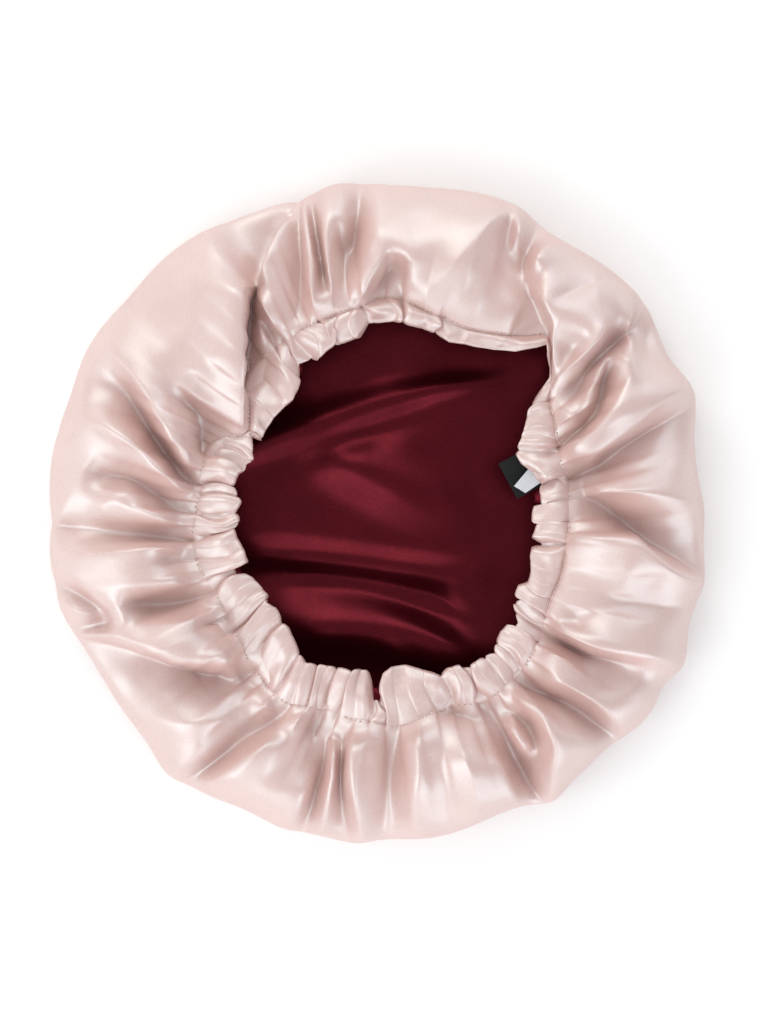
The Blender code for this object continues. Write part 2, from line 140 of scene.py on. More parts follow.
# The folds of the puffed side, from above: how sharply the cloth is creased along the line (0 to 1), how
# far it leans over to the line's left, and the line itself, outwards, as (angle, distance from the middle,
# height above or below the side's even shape).
Fold = namedtuple("Fold", "crease lean line")
FOLDS = tuple(
    Fold(*row)
    for row in (
        (1, 0, ((365, 107, -5), (363, 114, -7), (360, 123, -8), (357, 131, -8), (354, 142, -6),
            (350, 168, -3))),
        (0.6, 1.8, ((352.7, 103, 4), (353.5, 117, 6), (354.5, 133, 6), (354, 138, 6), (351, 146, 6),
            (349, 156, 6), (348, 176, 3))),
        (0, 0, ((6, 110, 5), (5, 130, 7), (3, 155, 6))),
        (1, 0, ((10, 101, -5), (12.7, 118, -7), (15, 131, -6), (17, 148, -5), (18, 162, -3),
            (18.5, 170, -2))),
        (0, -1.8, ((13.5, 112, 4), (17, 128, 4), (20.5, 151, 5), (21.8, 160, 6), (22, 172, 5))),
        (1, 0, ((20, 100, -5), (22, 110, -5), (23.5, 119, -4), (25.5, 127, -4), (30, 136, -3),
            (33, 142, -2))),
        (0, 0, ((18.7, 103, 4), (20.5, 117, 5), (23, 128, 6), (26, 141, 7), (29, 151, 6), (32, 153.5, 6),
            (34, 150, 5))),
        (0, 0, ((25.5, 120, 5), (28.3, 125, 5), (32, 135, 5), (34, 143, 5), (34.3, 148, 4))),
        (0, 0, ((26.6, 107.3, -5), (27.4, 108.3, -5))),
        (0, 0, ((30, 107, 3), (29, 111.5, 4), (27, 115, 5), (25, 112, 4))),
        (1, 0, ((31, 118, -2), (34.7, 133, -3), (35.5, 143, -4), (35.7, 151, -6), (36.2, 166, -5),
            (38, 179, -2))),
        (0, 0, ((31.5, 166, -5), (32.5, 166, -5))),
        (0, 0, ((29, 159, 2), (32, 157.5, 3), (34.5, 160, 2))),
        (0.3, 0, ((38, 122, 5), (37.6, 130, 6), (38, 143, 7), (38.8, 151, 7), (40, 154, 7), (41.5, 149, 6),
            (43, 140, 6), (44.5, 133, 5))),
        (0, 0, ((40.5, 128, -3), (40.5, 142, -1))),
        (0, 0, ((43, 156, 4), (44, 156, 4))),
        (1, 2, ((41.5, 122, 4), (45.5, 130, 6), (48, 134, 7), (51.5, 139, 8), (55, 146, 8), (58.5, 154, 8),
            (58.8, 159, 7), (57.7, 167, 5), (56, 174, 3))),
        (1, 0, ((46.6, 128, -3), (49.3, 133, -5), (53, 139, -5), (56.8, 146, -5), (60.4, 153, -4),
            (60.6, 159, -2))),
        (0, 0, ((51, 143, 6), (49.5, 151, 4), (47, 166, 2))),
        (0, 0, ((62.5, 158, 5), (64, 168, 6), (66.5, 177, 3))),
        (0.9, 0, ((78, 118, 3), (75, 129, 5), (73, 139, 6), (71, 149, 6), (69, 164, 6), (66, 177, 4))),
        (0, 0, ((61, 137, -4), (62.5, 146, -3), (65, 160, -2))),
        (0, 0, ((86, 143, 5), (83, 154, 4), (80, 165, 4), (78, 173, 2))),
        (0, 0, ((77.5, 136, 4), (80, 134.5, 5), (84, 134, 5), (86, 138, 5))),
        (0, 0, ((78.5, 121, 3), (78, 132, 4))),
        (0, 0, ((82, 120, 3), (82, 131, 4))),
        (1, 0, ((90.5, 115, -3), (89.6, 121, -4), (88, 128, -5), (86.6, 134, -3))),
        (0, 0, ((95, 110, 3), (94, 115, 5), (92.5, 123, 5), (90.5, 131, 6), (88.5, 138, 5))),
        (0, 0, ((91.7, 138, 5), (90.5, 148, 5), (90.5, 158, 3))),
        (1, 0, ((96, 130, -2), (95.8, 139, -5), (95.2, 148, -6), (94.5, 157, -4), (94, 163, -3))),
        (0, 0, ((97, 147, 2), (97, 156, 3), (96.7, 168, 3))),
        (0, 0, ((99, 120, -4), (98.7, 128, -6), (98.5, 138, -7), (98, 150, -4))),
        (0, 0, ((95.8, 117, -8), (96.3, 117, -8))),
        (0, 0, ((95, 122, 3), (97, 125, 4))),
        (0, 0, ((102.5, 116, 4), (101.8, 130, 6), (101.3, 145, 6), (100.5, 160, 5), (99.5, 173, 3))),
        (1, 0, ((104, 122, -3), (103.2, 140, -4), (102.8, 158, -3))),
        (0, 0, ((109, 111, 3), (107, 121, 5), (105.3, 134, 6), (104.7, 150, 6), (104.3, 163, 4))),
        (1, 0, ((112.5, 112, -3), (110, 122, -4), (107.8, 135, -4), (106.3, 151, -3))),
        (1, 0, ((137, 99, -5), (133.5, 103, -7), (129.8, 108.5, -9), (126.4, 116.5, -11),
            (124.4, 123, -11), (122, 132, -10), (120.2, 138, -10), (118, 142, -9), (115, 149, -8),
            (111, 160, -6), (107, 168, -3))),
        (1, -5, ((149.6, 85.5, 3), (145, 89, 5), (140.5, 94, 6), (132.9, 104.3, 8), (128.1, 115.1, 8),
            (124.4, 125.8, 8), (121, 136.7, 8), (118.3, 142, 7), (112.2, 154.5, 5), (104.1, 174.3, 2))),
        (0, 0, ((118.5, 159, -4), (118, 162, -4))),
        (0, 0, ((121, 147, 3), (121.8, 154, 4), (122, 165, 4), (121.5, 172, 3))),
        (0, 0, ((120, 109, 3), (119.8, 120, 4), (120, 133, 4))),
        (1, 0, ((122, 107, -4), (121.5, 113, -5), (121.3, 124, -3))),
        (0, 0, ((125.5, 107, 4), (124.3, 112, 4), (123, 118, 3))),
        (0, 0, ((141, 112, 4), (140.5, 120, 5), (143.5, 126, 5), (148, 129, 4))),
        (0, 0, ((146, 112, -1), (145, 120, 0))),
        (0, 0, ((147, 103, 2), (147.5, 109, 3), (148, 117, 4))),
        (1, 0, ((162, 99, -4), (158, 101, -6), (154, 105, -6), (151.3, 110, -5), (150, 120, -3))),
        (0, 0, ((158.5, 106, 3), (154, 112, 3), (151.5, 120, 3))),
        (0.5, 2.4, ((167.5, 100, 6), (164.3, 108, 8), (160.3, 117, 8), (156.5, 126, 8), (153.5, 134, 7),
            (151.6, 143, 7), (150.3, 153, 6), (149, 163, 6), (148.5, 170, 5), (149.5, 175, 3))),
        (1, 0, ((172, 98, -3), (170, 101, -5), (167, 108, -7), (163.6, 117, -7), (160.4, 127.5, -6),
            (157.5, 138, -5), (155, 146, -3), (154, 152, -2))),
        (0.3, 2, ((174, 102, 5), (171, 111, 7), (168, 119.5, 7), (165, 130, 7), (163, 141, 7),
            (161.8, 153.5, 7), (163.5, 164, 5), (166, 173, 3))),
        (0, 0, ((168.5, 132, 2), (167, 143, 2))),
        (0, 0, ((163.5, 154, 5), (166, 154.5, 4), (168.5, 154, 3))),
        (1, 0, ((179, 108, -4), (176, 115, -5), (173.5, 125, -4), (172, 135, -3), (172, 150, -2))),
        (0, 0, ((174.5, 131, 3), (175.5, 136, 4), (177, 142, 4), (180, 148, 3))),
        (1, 0, ((178, 98, -4), (176, 104, -3))),
        (0, 0, ((183, 109, 4), (180.5, 118, 4), (178.5, 130, 4))),
        (1, 0, ((189.6, 98, -3), (188.5, 101, -5), (186.7, 113, -5), (185.5, 125, -5), (184.5, 140, -4),
            (183, 158, -2))),
        (0, -2, ((191, 105, 4), (189.7, 112, 5), (188.7, 121, 6), (188.4, 132, 6), (188.3, 145, 5),
            (188, 158, 4), (187, 165, 3))),
        (1, 0, ((194.5, 101, -4), (193.2, 108, -4), (191.5, 118, -2))),
        (0, 0, ((199, 108, 5), (198, 122, 6), (196.5, 138, 6), (195.5, 152, 4))),
        (0, 0, ((199, 152, 2), (196, 157, 3), (192.5, 163, 4), (190, 172, 3))),
        (1, 0, ((199.8, 154, -3), (196.5, 162, -3), (194, 169, -2))),
        (0, 0, ((198.8, 164, 3), (196.5, 172, 3))),
        (1, 0, ((202.3, 151, -5), (201.4, 159, -5), (200.7, 170, -3))),
        (0, 0, ((198.4, 145, 5), (201, 144.8, 4), (206, 146, 4))),
        (0.4, 0, ((205.8, 100, -5), (204.7, 109, -7), (203.5, 119, -7), (202, 130, -6), (200.3, 138, -4))),
        (0.8, 3, ((229, 106.5, 6), (225, 112.5, 8), (221, 121.5, 8), (217, 130, 8), (213, 136.5, 8),
            (209, 143, 7), (205.5, 151, 6), (203.3, 160, 5), (202.5, 168, 3))),
        (1, 0, ((232, 106, -7), (228.5, 111, -9), (225, 117.5, -9), (221, 126.5, -9), (217, 135.5, -7),
            (213, 143, -6), (209.5, 149.5, -4), (206.5, 157, -3))),
        (0, 0, ((212.5, 102, 3), (211, 109, 5), (208.6, 118, 6), (207.2, 127, 6), (206.6, 133, 5))),
        (1, 0, ((214.7, 99, -4), (213.6, 105, -4), (211.7, 113, -3))),
        (0, 0, ((216.2, 104, 3), (215.5, 109, 4))),
        (1, 0, ((219, 101, -3), (218.2, 105, -2))),
        (0, 0, ((233, 136, 2), (229, 146, 4), (225, 155, 4), (222, 161, 3), (219.5, 167, 2))),
        (0, 0, ((233.5, 154, 3), (232.5, 166, 3), (232.3, 177, 4))),
        (1, 0, ((244.2, 116, -5), (242, 126, -5), (239.3, 138, -5), (237.5, 151, -5), (236, 161, -4),
            (234.5, 173, -2))),
        (0, 0, ((244.5, 132, 4), (241.5, 145, 5), (239, 160, 5), (237.5, 175, 4))),
        (1, 0, ((236.5, 107, -5), (235, 111, -6), (232, 119, -4), (230, 127, -2))),
        (0, 0, ((240.5, 114, 3), (238.5, 120, 3))),
        (0, 0, ((251.5, 152, 4), (248, 160, 5), (244, 162, 5))),
        (0, 0, ((249, 128, 0), (249, 139, 1))),
        (0, 0, ((249, 113, 3), (247.5, 121, 4))),
        (1, 0, ((252.5, 113, -5), (253, 121, -6), (254, 130, -3))),
        (1, 0, ((255.7, 112, -4), (256.5, 121, -5), (257.2, 130, -7), (257.5, 138, -8), (257, 150, -5),
            (256.8, 161, -4), (256.3, 171, -3))),
        (0, 0, ((255, 148, 4), (254.8, 162, 4), (254.3, 174, 3))),
        (0, 0, ((259, 122, 4), (259.8, 140, 4), (259.7, 160, 3))),
        (1, 0, ((260.3, 114, -4), (260.8, 124, -5), (261.3, 135, -5), (262, 148, -5), (263, 160, -4),
            (264, 170, -3))),
        (0, -1.8, ((262.6, 119, 5), (263.2, 130, 6), (264, 143, 6), (265.3, 156, 6), (266.6, 167, 5),
            (267, 175, 4))),
        (0, 0, ((274.8, 118, -4), (274, 124, -5), (272.5, 132, -6), (272, 143, -6), (271.5, 155, -4),
            (271, 168, -2))),
        (0, 0, ((267.5, 118, 4), (267.6, 128, 4))),
        (0, -1.8, ((278.7, 117, 5), (279, 127, 6), (278.7, 138, 6), (277, 151, 5), (276, 166, 4))),
        (0, 0, ((289, 132, 6), (289.5, 146, 7), (288.5, 160, 7))),
        (0, 0, ((283, 130, 2), (283.5, 145, 2), (283, 160, 2))),
        (1, 0, ((286, 109, -3), (290, 112, -4), (294, 118, -4), (297, 126, -4))),
        (1, 0, ((298, 113, -5), (298.7, 120, -6), (299.6, 133, -7), (299.2, 142, -9), (298.8, 150, -10),
            (298.9, 165, -8), (299.3, 176, -3))),
        (0, 0, ((295.5, 142, 3), (295.6, 155, 4), (295.5, 172, 4))),
        (0.3, -1.5, ((306.3, 117, 3), (307, 124, 5), (308.7, 132, 6), (309, 139, 7), (307, 151, 7),
            (305.6, 158, 7), (304.2, 163, 6), (302.7, 168, 5), (301, 174, 4))),
        (0, 0, ((301.3, 128, 4), (301.6, 140, 4), (301.7, 150, 4))),
        (1, 0, ((303.6, 124, -4), (304.8, 137, -5), (304.3, 150, -3))),
        (1, 0, ((309.5, 117, -6), (311.5, 125, -7), (313.5, 135, -7), (315, 148, -6), (315.6, 160, -5),
            (316.3, 170, -3))),
        (0, 0, ((311.5, 150, 4), (312, 166, 4))),
        (0, 0, ((315, 124, 4), (317.5, 135, 4), (319, 150, 3), (318.5, 166, 3))),
        (0, 0, ((321, 136, -2), (322.5, 150, -2))),
        (0, 0, ((322, 159, 2), (326, 165, 3), (329.5, 172, 3))),
        (0.6, -2, ((327, 109, 5), (327, 119, 7), (327.6, 130, 7), (328.9, 140, 7), (330.7, 153, 7),
            (332.3, 164, 6), (333.2, 177, 4))),
        (1, 0, ((324, 111, -5), (324.7, 119, -7), (325.3, 129, -8), (326.5, 139, -6), (328.5, 150, -3))),
        (0, 0, ((319.5, 112, 3), (321, 118, 5), (322.5, 128, 4))),
        (0, 0, ((332, 114, 0), (331, 122, 1))),
        (0, 0, ((333.5, 110, 3), (336, 130, 4), (337.5, 150, 4), (339, 162, 3))),
        (0, 0, ((339, 130, 1), (341, 150, 1))),
        (0, 0, ((341.5, 112, 3), (345, 135, 4), (347, 150, 3))),
    )
)
PINCH = 0.1  # how far the stitches draw the cloth in
FOLD_GAIN = 2.1  # how high the folds stand, for each unit of their height above
REST_RISE = 3.0  # of the puffed cloth between the folds
REST_REACH = 13.0  # how soon it gets there
TENSION_REACH = 3.2  # shorter bends are round, and longer ones are drawn straight
RIDGE_HOLD, VALLEY_HOLD, SEAM_HOLD = 0.25, 0.5, 0.03  # how firmly the cloth is held to the lines
RIDGE_CREASE = 0.85  # the least that a ridge is creased
HINGE = 0.02  # the stiffness left along a sharp crease
LEAN_STIFFNESS, LEAN_REACH = 0.05, 6.0  # how far to its sides a leaning fold takes the cloth along
STAND_BACK, LEAN_BACK = 0.75, 0.8  # how much of its later shift and lean a fold is held back by
RIM_FOLD = 2.5  # the least height of a fold where it runs over the outer edge
RIM_REACH = 24.0  # a fold that comes this near to the outer edge runs on to it
LINE_STEP = 0.6  # between the points of a fold's line
LINE_ROUNDS = 20  # of smoothing for a fold's line
END_FADE, CREASE_FADE = 12.0, 6.0  # how soon a fold and its crease come up from the line's ends

PUFF_ROWS, ROLL_ROWS, CROWN_ROWS = 74, 10, 3  # of the grid: over the puffed side, round its edge, below it
COLUMNS = 1120
SHEET_ROUNDS = 900  # enough for the springy sheet to come to rest


def closed_curve(outline, angles):
    """A smooth closed curve through an outline's points."""
    knots, values = np.array(outline, float).T
    knots = np.concatenate([knots[-2:] - 360, knots, knots[:2] + 360])
    values = np.concatenate([values[-2:], values, values[:2]])
    slopes = np.gradient(values, knots)
    place = np.mod(angles, 360)
    i = np.clip(np.searchsorted(knots, place, side="right") - 1, 0, len(knots) - 2)
    gap = knots[i + 1] - knots[i]
    s = (place - knots[i]) / gap
    start = (1 + 2 * s) * (1 - s) ** 2 * values[i] + s * (1 - s) ** 2 * gap * slopes[i]
    return start + s * s * (3 - 2 * s) * values[i + 1] - s * s * (1 - s) * gap * slopes[i + 1]


def outer_radius(angles):
    return closed_curve(OUTER_OUTLINE, angles)


def seam_radius(angles):
    return closed_curve(SEAM_OUTLINE, angles)


def lip_radius(angles):
    knots, values = np.array(LIP_OUTLINE, float).T
    return np.interp(np.mod(angles, 360), knots, values, period=360)


def turned_from(start, angles):
    """How far the angles lie from a start, the short way round."""
    return (angles - start + 180) % 360 - 180


# The columns are shared out over the gathers, with more where the cloth runs in and out of a crease.
seam_creases, lip_creases, depths = np.array(CREASES, float).T
gather_spans = np.diff(np.append(seam_creases, seam_creases[0] + 360))
lip_spans = np.diff(np.append(lip_creases, lip_creases[0] + 360))
gather_widths = np.radians(gather_spans) * seam_radius(seam_creases + gather_spans / 2)
rim = np.concatenate([[0], np.cumsum(gather_widths + CREASE_CLOTH * depths)])
rim_place = (np.arange(COLUMNS) + 0.5) / COLUMNS * rim[-1]
gather = np.searchsorted(rim, rim_place, side="right") - 1
inside = (rim_place - rim[gather]) / np.diff(rim)[gather]
inside -= CROWDING * np.sin(2 * np.pi * inside)
blend = inside * inside * (3 - 2 * inside)


def between(values, share):
    """A value for each column, from those of the creases at its two sides."""
    return values[gather] * (1 - share) + np.roll(values, -1)[gather] * share


# A gather is fullest to one side of its middle, and its pillow is cut short between mere wrinkles.
chance = np.random.default_rng(11)
skew = np.where(
    chance.random(len(depths)) < 0.5,
    chance.uniform(0.55, 0.8, len(depths)),
    chance.uniform(1.25, 1.8, len(depths)),
)
pillow = np.sqrt(1 - np.abs(2 * inside ** skew[gather] - 1) ** PILLOW_POWER)
depth = between(depths, blend)
pillow = 1 - np.where(depth < WRINKLE_DEPTH, WRINKLE_SHARE, 1) * depth * (1 - pillow)

# The gathers from one full crease to the next make a tab of the casing, which swells up and leans as one.
deep = depths >= FULL_CREASE
tab = (np.cumsum(deep) - 1) % deep.sum()
tab_width = np.bincount(tab, gather_widths)[tab]
tab_heights = np.clip(TAB_SHARE * tab_width, LOW_TAB, TAB_HEIGHT)
tab_heights = tab_heights * chance.uniform(0.6, 1.2, len(depths))[tab]
smooth = (seam_creases >= SMOOTH_STRETCH[0]) & (seam_creases < SMOOTH_STRETCH[1])
tab_heights = np.where(smooth, SMOOTH_HEIGHT, tab_heights)
heights = between(tab_heights, blend)
heights = np.where(np.roll(deep, -1)[gather] | deep[gather], tab_heights[gather], heights)
bend = between(chance.uniform(-1.7, 1.7, len(depths)) * depths, inside)
peak = chance.uniform(0.5, 1.5, len(depths))[tab][gather]
droop = between(chance.uniform(-1.6, 1.4, len(depths))[tab], blend)
leans = chance.choice((-1, 1), len(depths)) * chance.uniform(0.4, 0.9, len(depths))
lean = np.where(smooth, 0, leans[tab])[gather]
reach = chance.uniform(FIRST_REACH, LAST_REACH, len(depths))[gather]
seam_angles = seam_creases[gather] + gather_spans[gather] * inside
lip_angles = lip_creases[gather] + lip_spans[gather] * inside
band_widths = seam_radius(seam_angles) - lip_radius(lip_angles)


def side_profile(share):
    """The puffed side's height without its folds, from the stitches (0) to the outer edge (1)."""
    rise = np.clip(1 - share / CREST_SHARE, 0, 1)
    fall = np.clip((share - CREST_SHARE) / (1 - CREST_SHARE), 0, 1)
    drop = (CREST_HEIGHT - EDGE_HEIGHT) * (0.72 * fall**1.7 + 0.28 * (1 - np.sqrt(1 - fall**7)))
    return CREST_HEIGHT - (CREST_HEIGHT - SEAM_HEIGHT) * rise**2 - drop


def settled(pinned, hold, stiffness, tension, rest, level, across_step, along_step):
    """A springy sheet over a grid that is closed across, drawn to the pinned heights where it is held and
    to one level elsewhere. Solved by conjugate gradients."""
    cell = across_step * along_step
    step = (across_step[1:] + across_step[:-1]) / 2 * along_step
    twisting = 2 * (stiffness[1:] + stiffness[:-1]) / 2 * (cell[1:] + cell[:-1]) / 2

    def across(field):
        return (np.roll(field, 1, axis=1) - 2 * field + np.roll(field, -1, axis=1)) / across_step**2

    def force(field):
        total = across(stiffness * cell * across(field)) + (rest * cell + hold) * field
        bent = np.zeros_like(field)
        bent[1:-1] = (field[2:] - 2 * field[1:-1] + field[:-2]) * (stiffness * cell)[1:-1] / along_step**4
        total -= 2 * bent
        total[1:] += bent[:-1]
        total[:-1] += bent[1:]
        slope = np.roll(field, -1, axis=1) - field
        twist = (slope[1:] - slope[:-1]) * twisting / step**2
        slope *= tension * along_step / across_step
        slope[1:] += twist
        slope[:-1] -= twist
        total += np.roll(slope, 1, axis=1) - slope
        rise = (field[1:] - field[:-1]) * tension * step / along_step**2
        total[1:] += rise
        total[:-1] -= rise
        return total

    scale = stiffness * cell * (6 / across_step**4 + 6 / along_step**4) + rest * cell + hold
    field = np.full_like(pinned, level)
    left = rest * cell * level + hold * pinned - force(field)
    eased = left / scale
    way = eased.copy()
    size = (left * eased).sum()
    for k in range(SHEET_ROUNDS):
        pull = force(way)
        length = size / (way * pull).sum()
        field += length * way
        left -= length * pull
        eased = left / scale
        size, before = (left * eased).sum(), size
        way = eased + way * (size / before)
    return field


def fold_line(fold):
    """A fold's line as closely set points: how far along it they lie, their angles, distances and heights,
    and the way they lean in x and y. The line stands back by most of its own lean."""
    line = np.array(fold.line, float)
    rim_radius = outer_radius(line[-1, 0])
    if line[-1, 1] > rim_radius - RIM_REACH:
        last_step = line[-1] - line[-2]
        run_on = line[-1] + last_step * (rim_radius - line[-1, 1]) / (last_step[1] + 4)
        rim_height = math.copysign(max(RIM_FOLD, 0.7 * abs(line[-1, 2])), line[-1, 2])
        line = np.vstack([line, (run_on[0], rim_radius, rim_height)])
    x = line[:, 1] * np.cos(np.radians(line[:, 0]))
    y = line[:, 1] * np.sin(np.radians(line[:, 0]))
    run = np.concatenate([[0], np.cumsum(np.hypot(np.diff(x), np.diff(y)))])
    along = np.linspace(0, run[-1], int(run[-1] / LINE_STEP) + 2)
    x, y, height = (np.interp(along, run, values) for values in (x, y, line[:, 2]))
    if len(line) > 3:
        for values in (x, y, height):
            for k in range(LINE_ROUNDS):
                values[1:-1] = (values[:-2] + 2 * values[1:-1] + values[2:]) / 4
    aside = np.stack([-np.gradient(y), np.gradient(x)], axis=-1)
    aside *= fold.lean / np.linalg.norm(aside, axis=-1, keepdims=True)
    x, y = x - LEAN_BACK * aside[:, 0], y - LEAN_BACK * aside[:, 1]
    return along, np.degrees(np.arctan2(y, x)), np.hypot(x, y), height, aside


def fold_shifts(angles, shares, along_step, outward):
    """How far the folds lean each point of the puffed side over in x and y, and how high they lift it. A
    fold is held back from its line by most of what its lift will carry it outwards."""
    rows, columns = len(angles), COLUMNS
    puff_shares, puff_outward = shares[: PUFF_ROWS + 1], outward[: PUFF_ROWS + 1]
    holds, held, stiffness = (np.zeros((rows, columns)) for k in range(3))
    aside_holds, aside_held = np.zeros((rows, columns)), np.zeros((rows, columns, 2))
    for fold in FOLDS:
        along, angle, radius, height, aside = fold_line(fold)
        seam, outer = seam_radius(angle), outer_radius(angle)
        share = np.clip((radius - seam) / (outer - seam), 0, 1)
        radius -= STAND_BACK * FOLD_GAIN * height * np.interp(share, puff_shares, puff_outward)
        share = np.clip((radius - seam) / (outer - seam), 0, 1)
        row = np.interp(share, puff_shares, np.arange(PUFF_ROWS + 1))
        for k in range(len(along)):
            from_end = min(along[k], along[-1] - along[k])
            end = min(1, 0.25 + from_end / END_FADE)
            high = height[k] > 0
            hold = (RIDGE_HOLD if high else VALLEY_HOLD * max(fold.crease, 0.2)) * end
            crease = max(fold.crease, RIDGE_CREASE) if high else fold.crease
            crease *= min(1, from_end / CREASE_FADE)
            first = min(int(row[k]), PUFF_ROWS + ROLL_ROWS - 1)
            for i, near in ((first, 1 - row[k] + first), (first + 1, row[k] - first)):
                away = (angle[k] - angles[i, 0]) % 360
                place = np.interp(away, (angles[i] - angles[i, 0]) % 360, np.arange(columns))
                part = place % 1
                # A smooth bell over four columns, so that the fold doesn't jump from one to the next.
                spread = (
                    (1 - part) ** 3,
                    3 * part**3 - 6 * part**2 + 4,
                    1 + 3 * part * (1 + part - part**2),
                    part**3,
                )
                for j, beside in enumerate(spread, int(place) - 1):
                    j, share_here = j % columns, near * beside / 6
                    holds[i, j] += hold * share_here
                    held[i, j] += hold * share_here * height[k]
                    stiffness[i, j] = max(stiffness[i, j], crease * min(1, 2.4 * share_here))
                    if fold.lean:
                        aside_holds[i, j] += share_here
                        aside_held[i, j] += share_here * aside[k]
    holds[0] += SEAM_HOLD
    around = np.arange(0, 360, 4)
    seam, outer = seam_radius(around), outer_radius(around)
    mean_radius = np.array([(seam * (1 - share) + outer * share).mean() for share in shares])
    across_step = (2 * math.pi * mean_radius / columns)[:, None]
    height = settled(
        held / np.maximum(holds, 1e-9), holds, 1 - (1 - HINGE) * stiffness, 1 / TENSION_REACH**2,
        1 / REST_REACH**4, REST_RISE, across_step, along_step,
    )
    limp = np.full((rows, columns), LEAN_STIFFNESS)
    leant = [
        settled(
            aside_held[..., k] / np.maximum(aside_holds, 1e-3), aside_holds + 0.02 * holds, limp,
            1.0, 1 / LEAN_REACH**2, 0.0, across_step, along_step,
        )
        for k in range(2)
    ]
    return np.stack([*leant, height], axis=-1)


def soften(field, across, along=0):
    """A field of the cloth's grid made smoother, in rounds across the folds and along them."""
    for k in range(across):
        field = (np.roll(field, 1, axis=1) + 2 * field + np.roll(field, -1, axis=1)) / 4
    for k in range(along):
        inner = (field[:-2] + 2 * field[1:-1] + field[2:]) / 4
        field = np.concatenate([field[:1], inner, field[-1:]])
    return field


def ring(angles, radius, height):
    """One row of points round the opening, kept clear of the floor."""
    x = radius * np.cos(np.radians(angles)) + CENTRE[0]
    y = radius * np.sin(np.radians(angles)) + CENTRE[1]
    return np.stack([x, y, np.maximum(np.broadcast_to(height, x.shape), CLEAR)], axis=-1)


def crumple(x, y, seed, lengths, height):
    """Slight waves of the cloth in all directions, of a few lengths."""
    phases = np.random.default_rng(seed)
    total = np.zeros_like(x)
    for length in lengths:
        for k in range(3):
            heading, start, sway = phases.uniform(0, 2 * math.pi, 3)
            along = (x * math.cos(heading) + y * math.sin(heading)) / length
            across = (y * math.cos(heading) - x * math.sin(heading)) / length
            total += np.sin(2 * math.pi * along + start + 1.3 * np.sin(3.1 * across + sway)) * length
    return total * height / sum(lengths)


PINCH_REACH = 1.3  # outwards from the stitches
PINCHED_BAND = 5.0  # the stitches draw the cloth in where the casing is wider than this
GATHER_SINK = 0.35  # of a gather's height: how far the cloth sinks in between the gathers
PLEAT_HEIGHT, PLEAT_REACH = 2.6, 18.0  # of the fine pleats that run out from the stitches
CRUMPLE = 0.7  # the height of the slight waves
CROWN_STEP = 4.0  # between the crown's rows


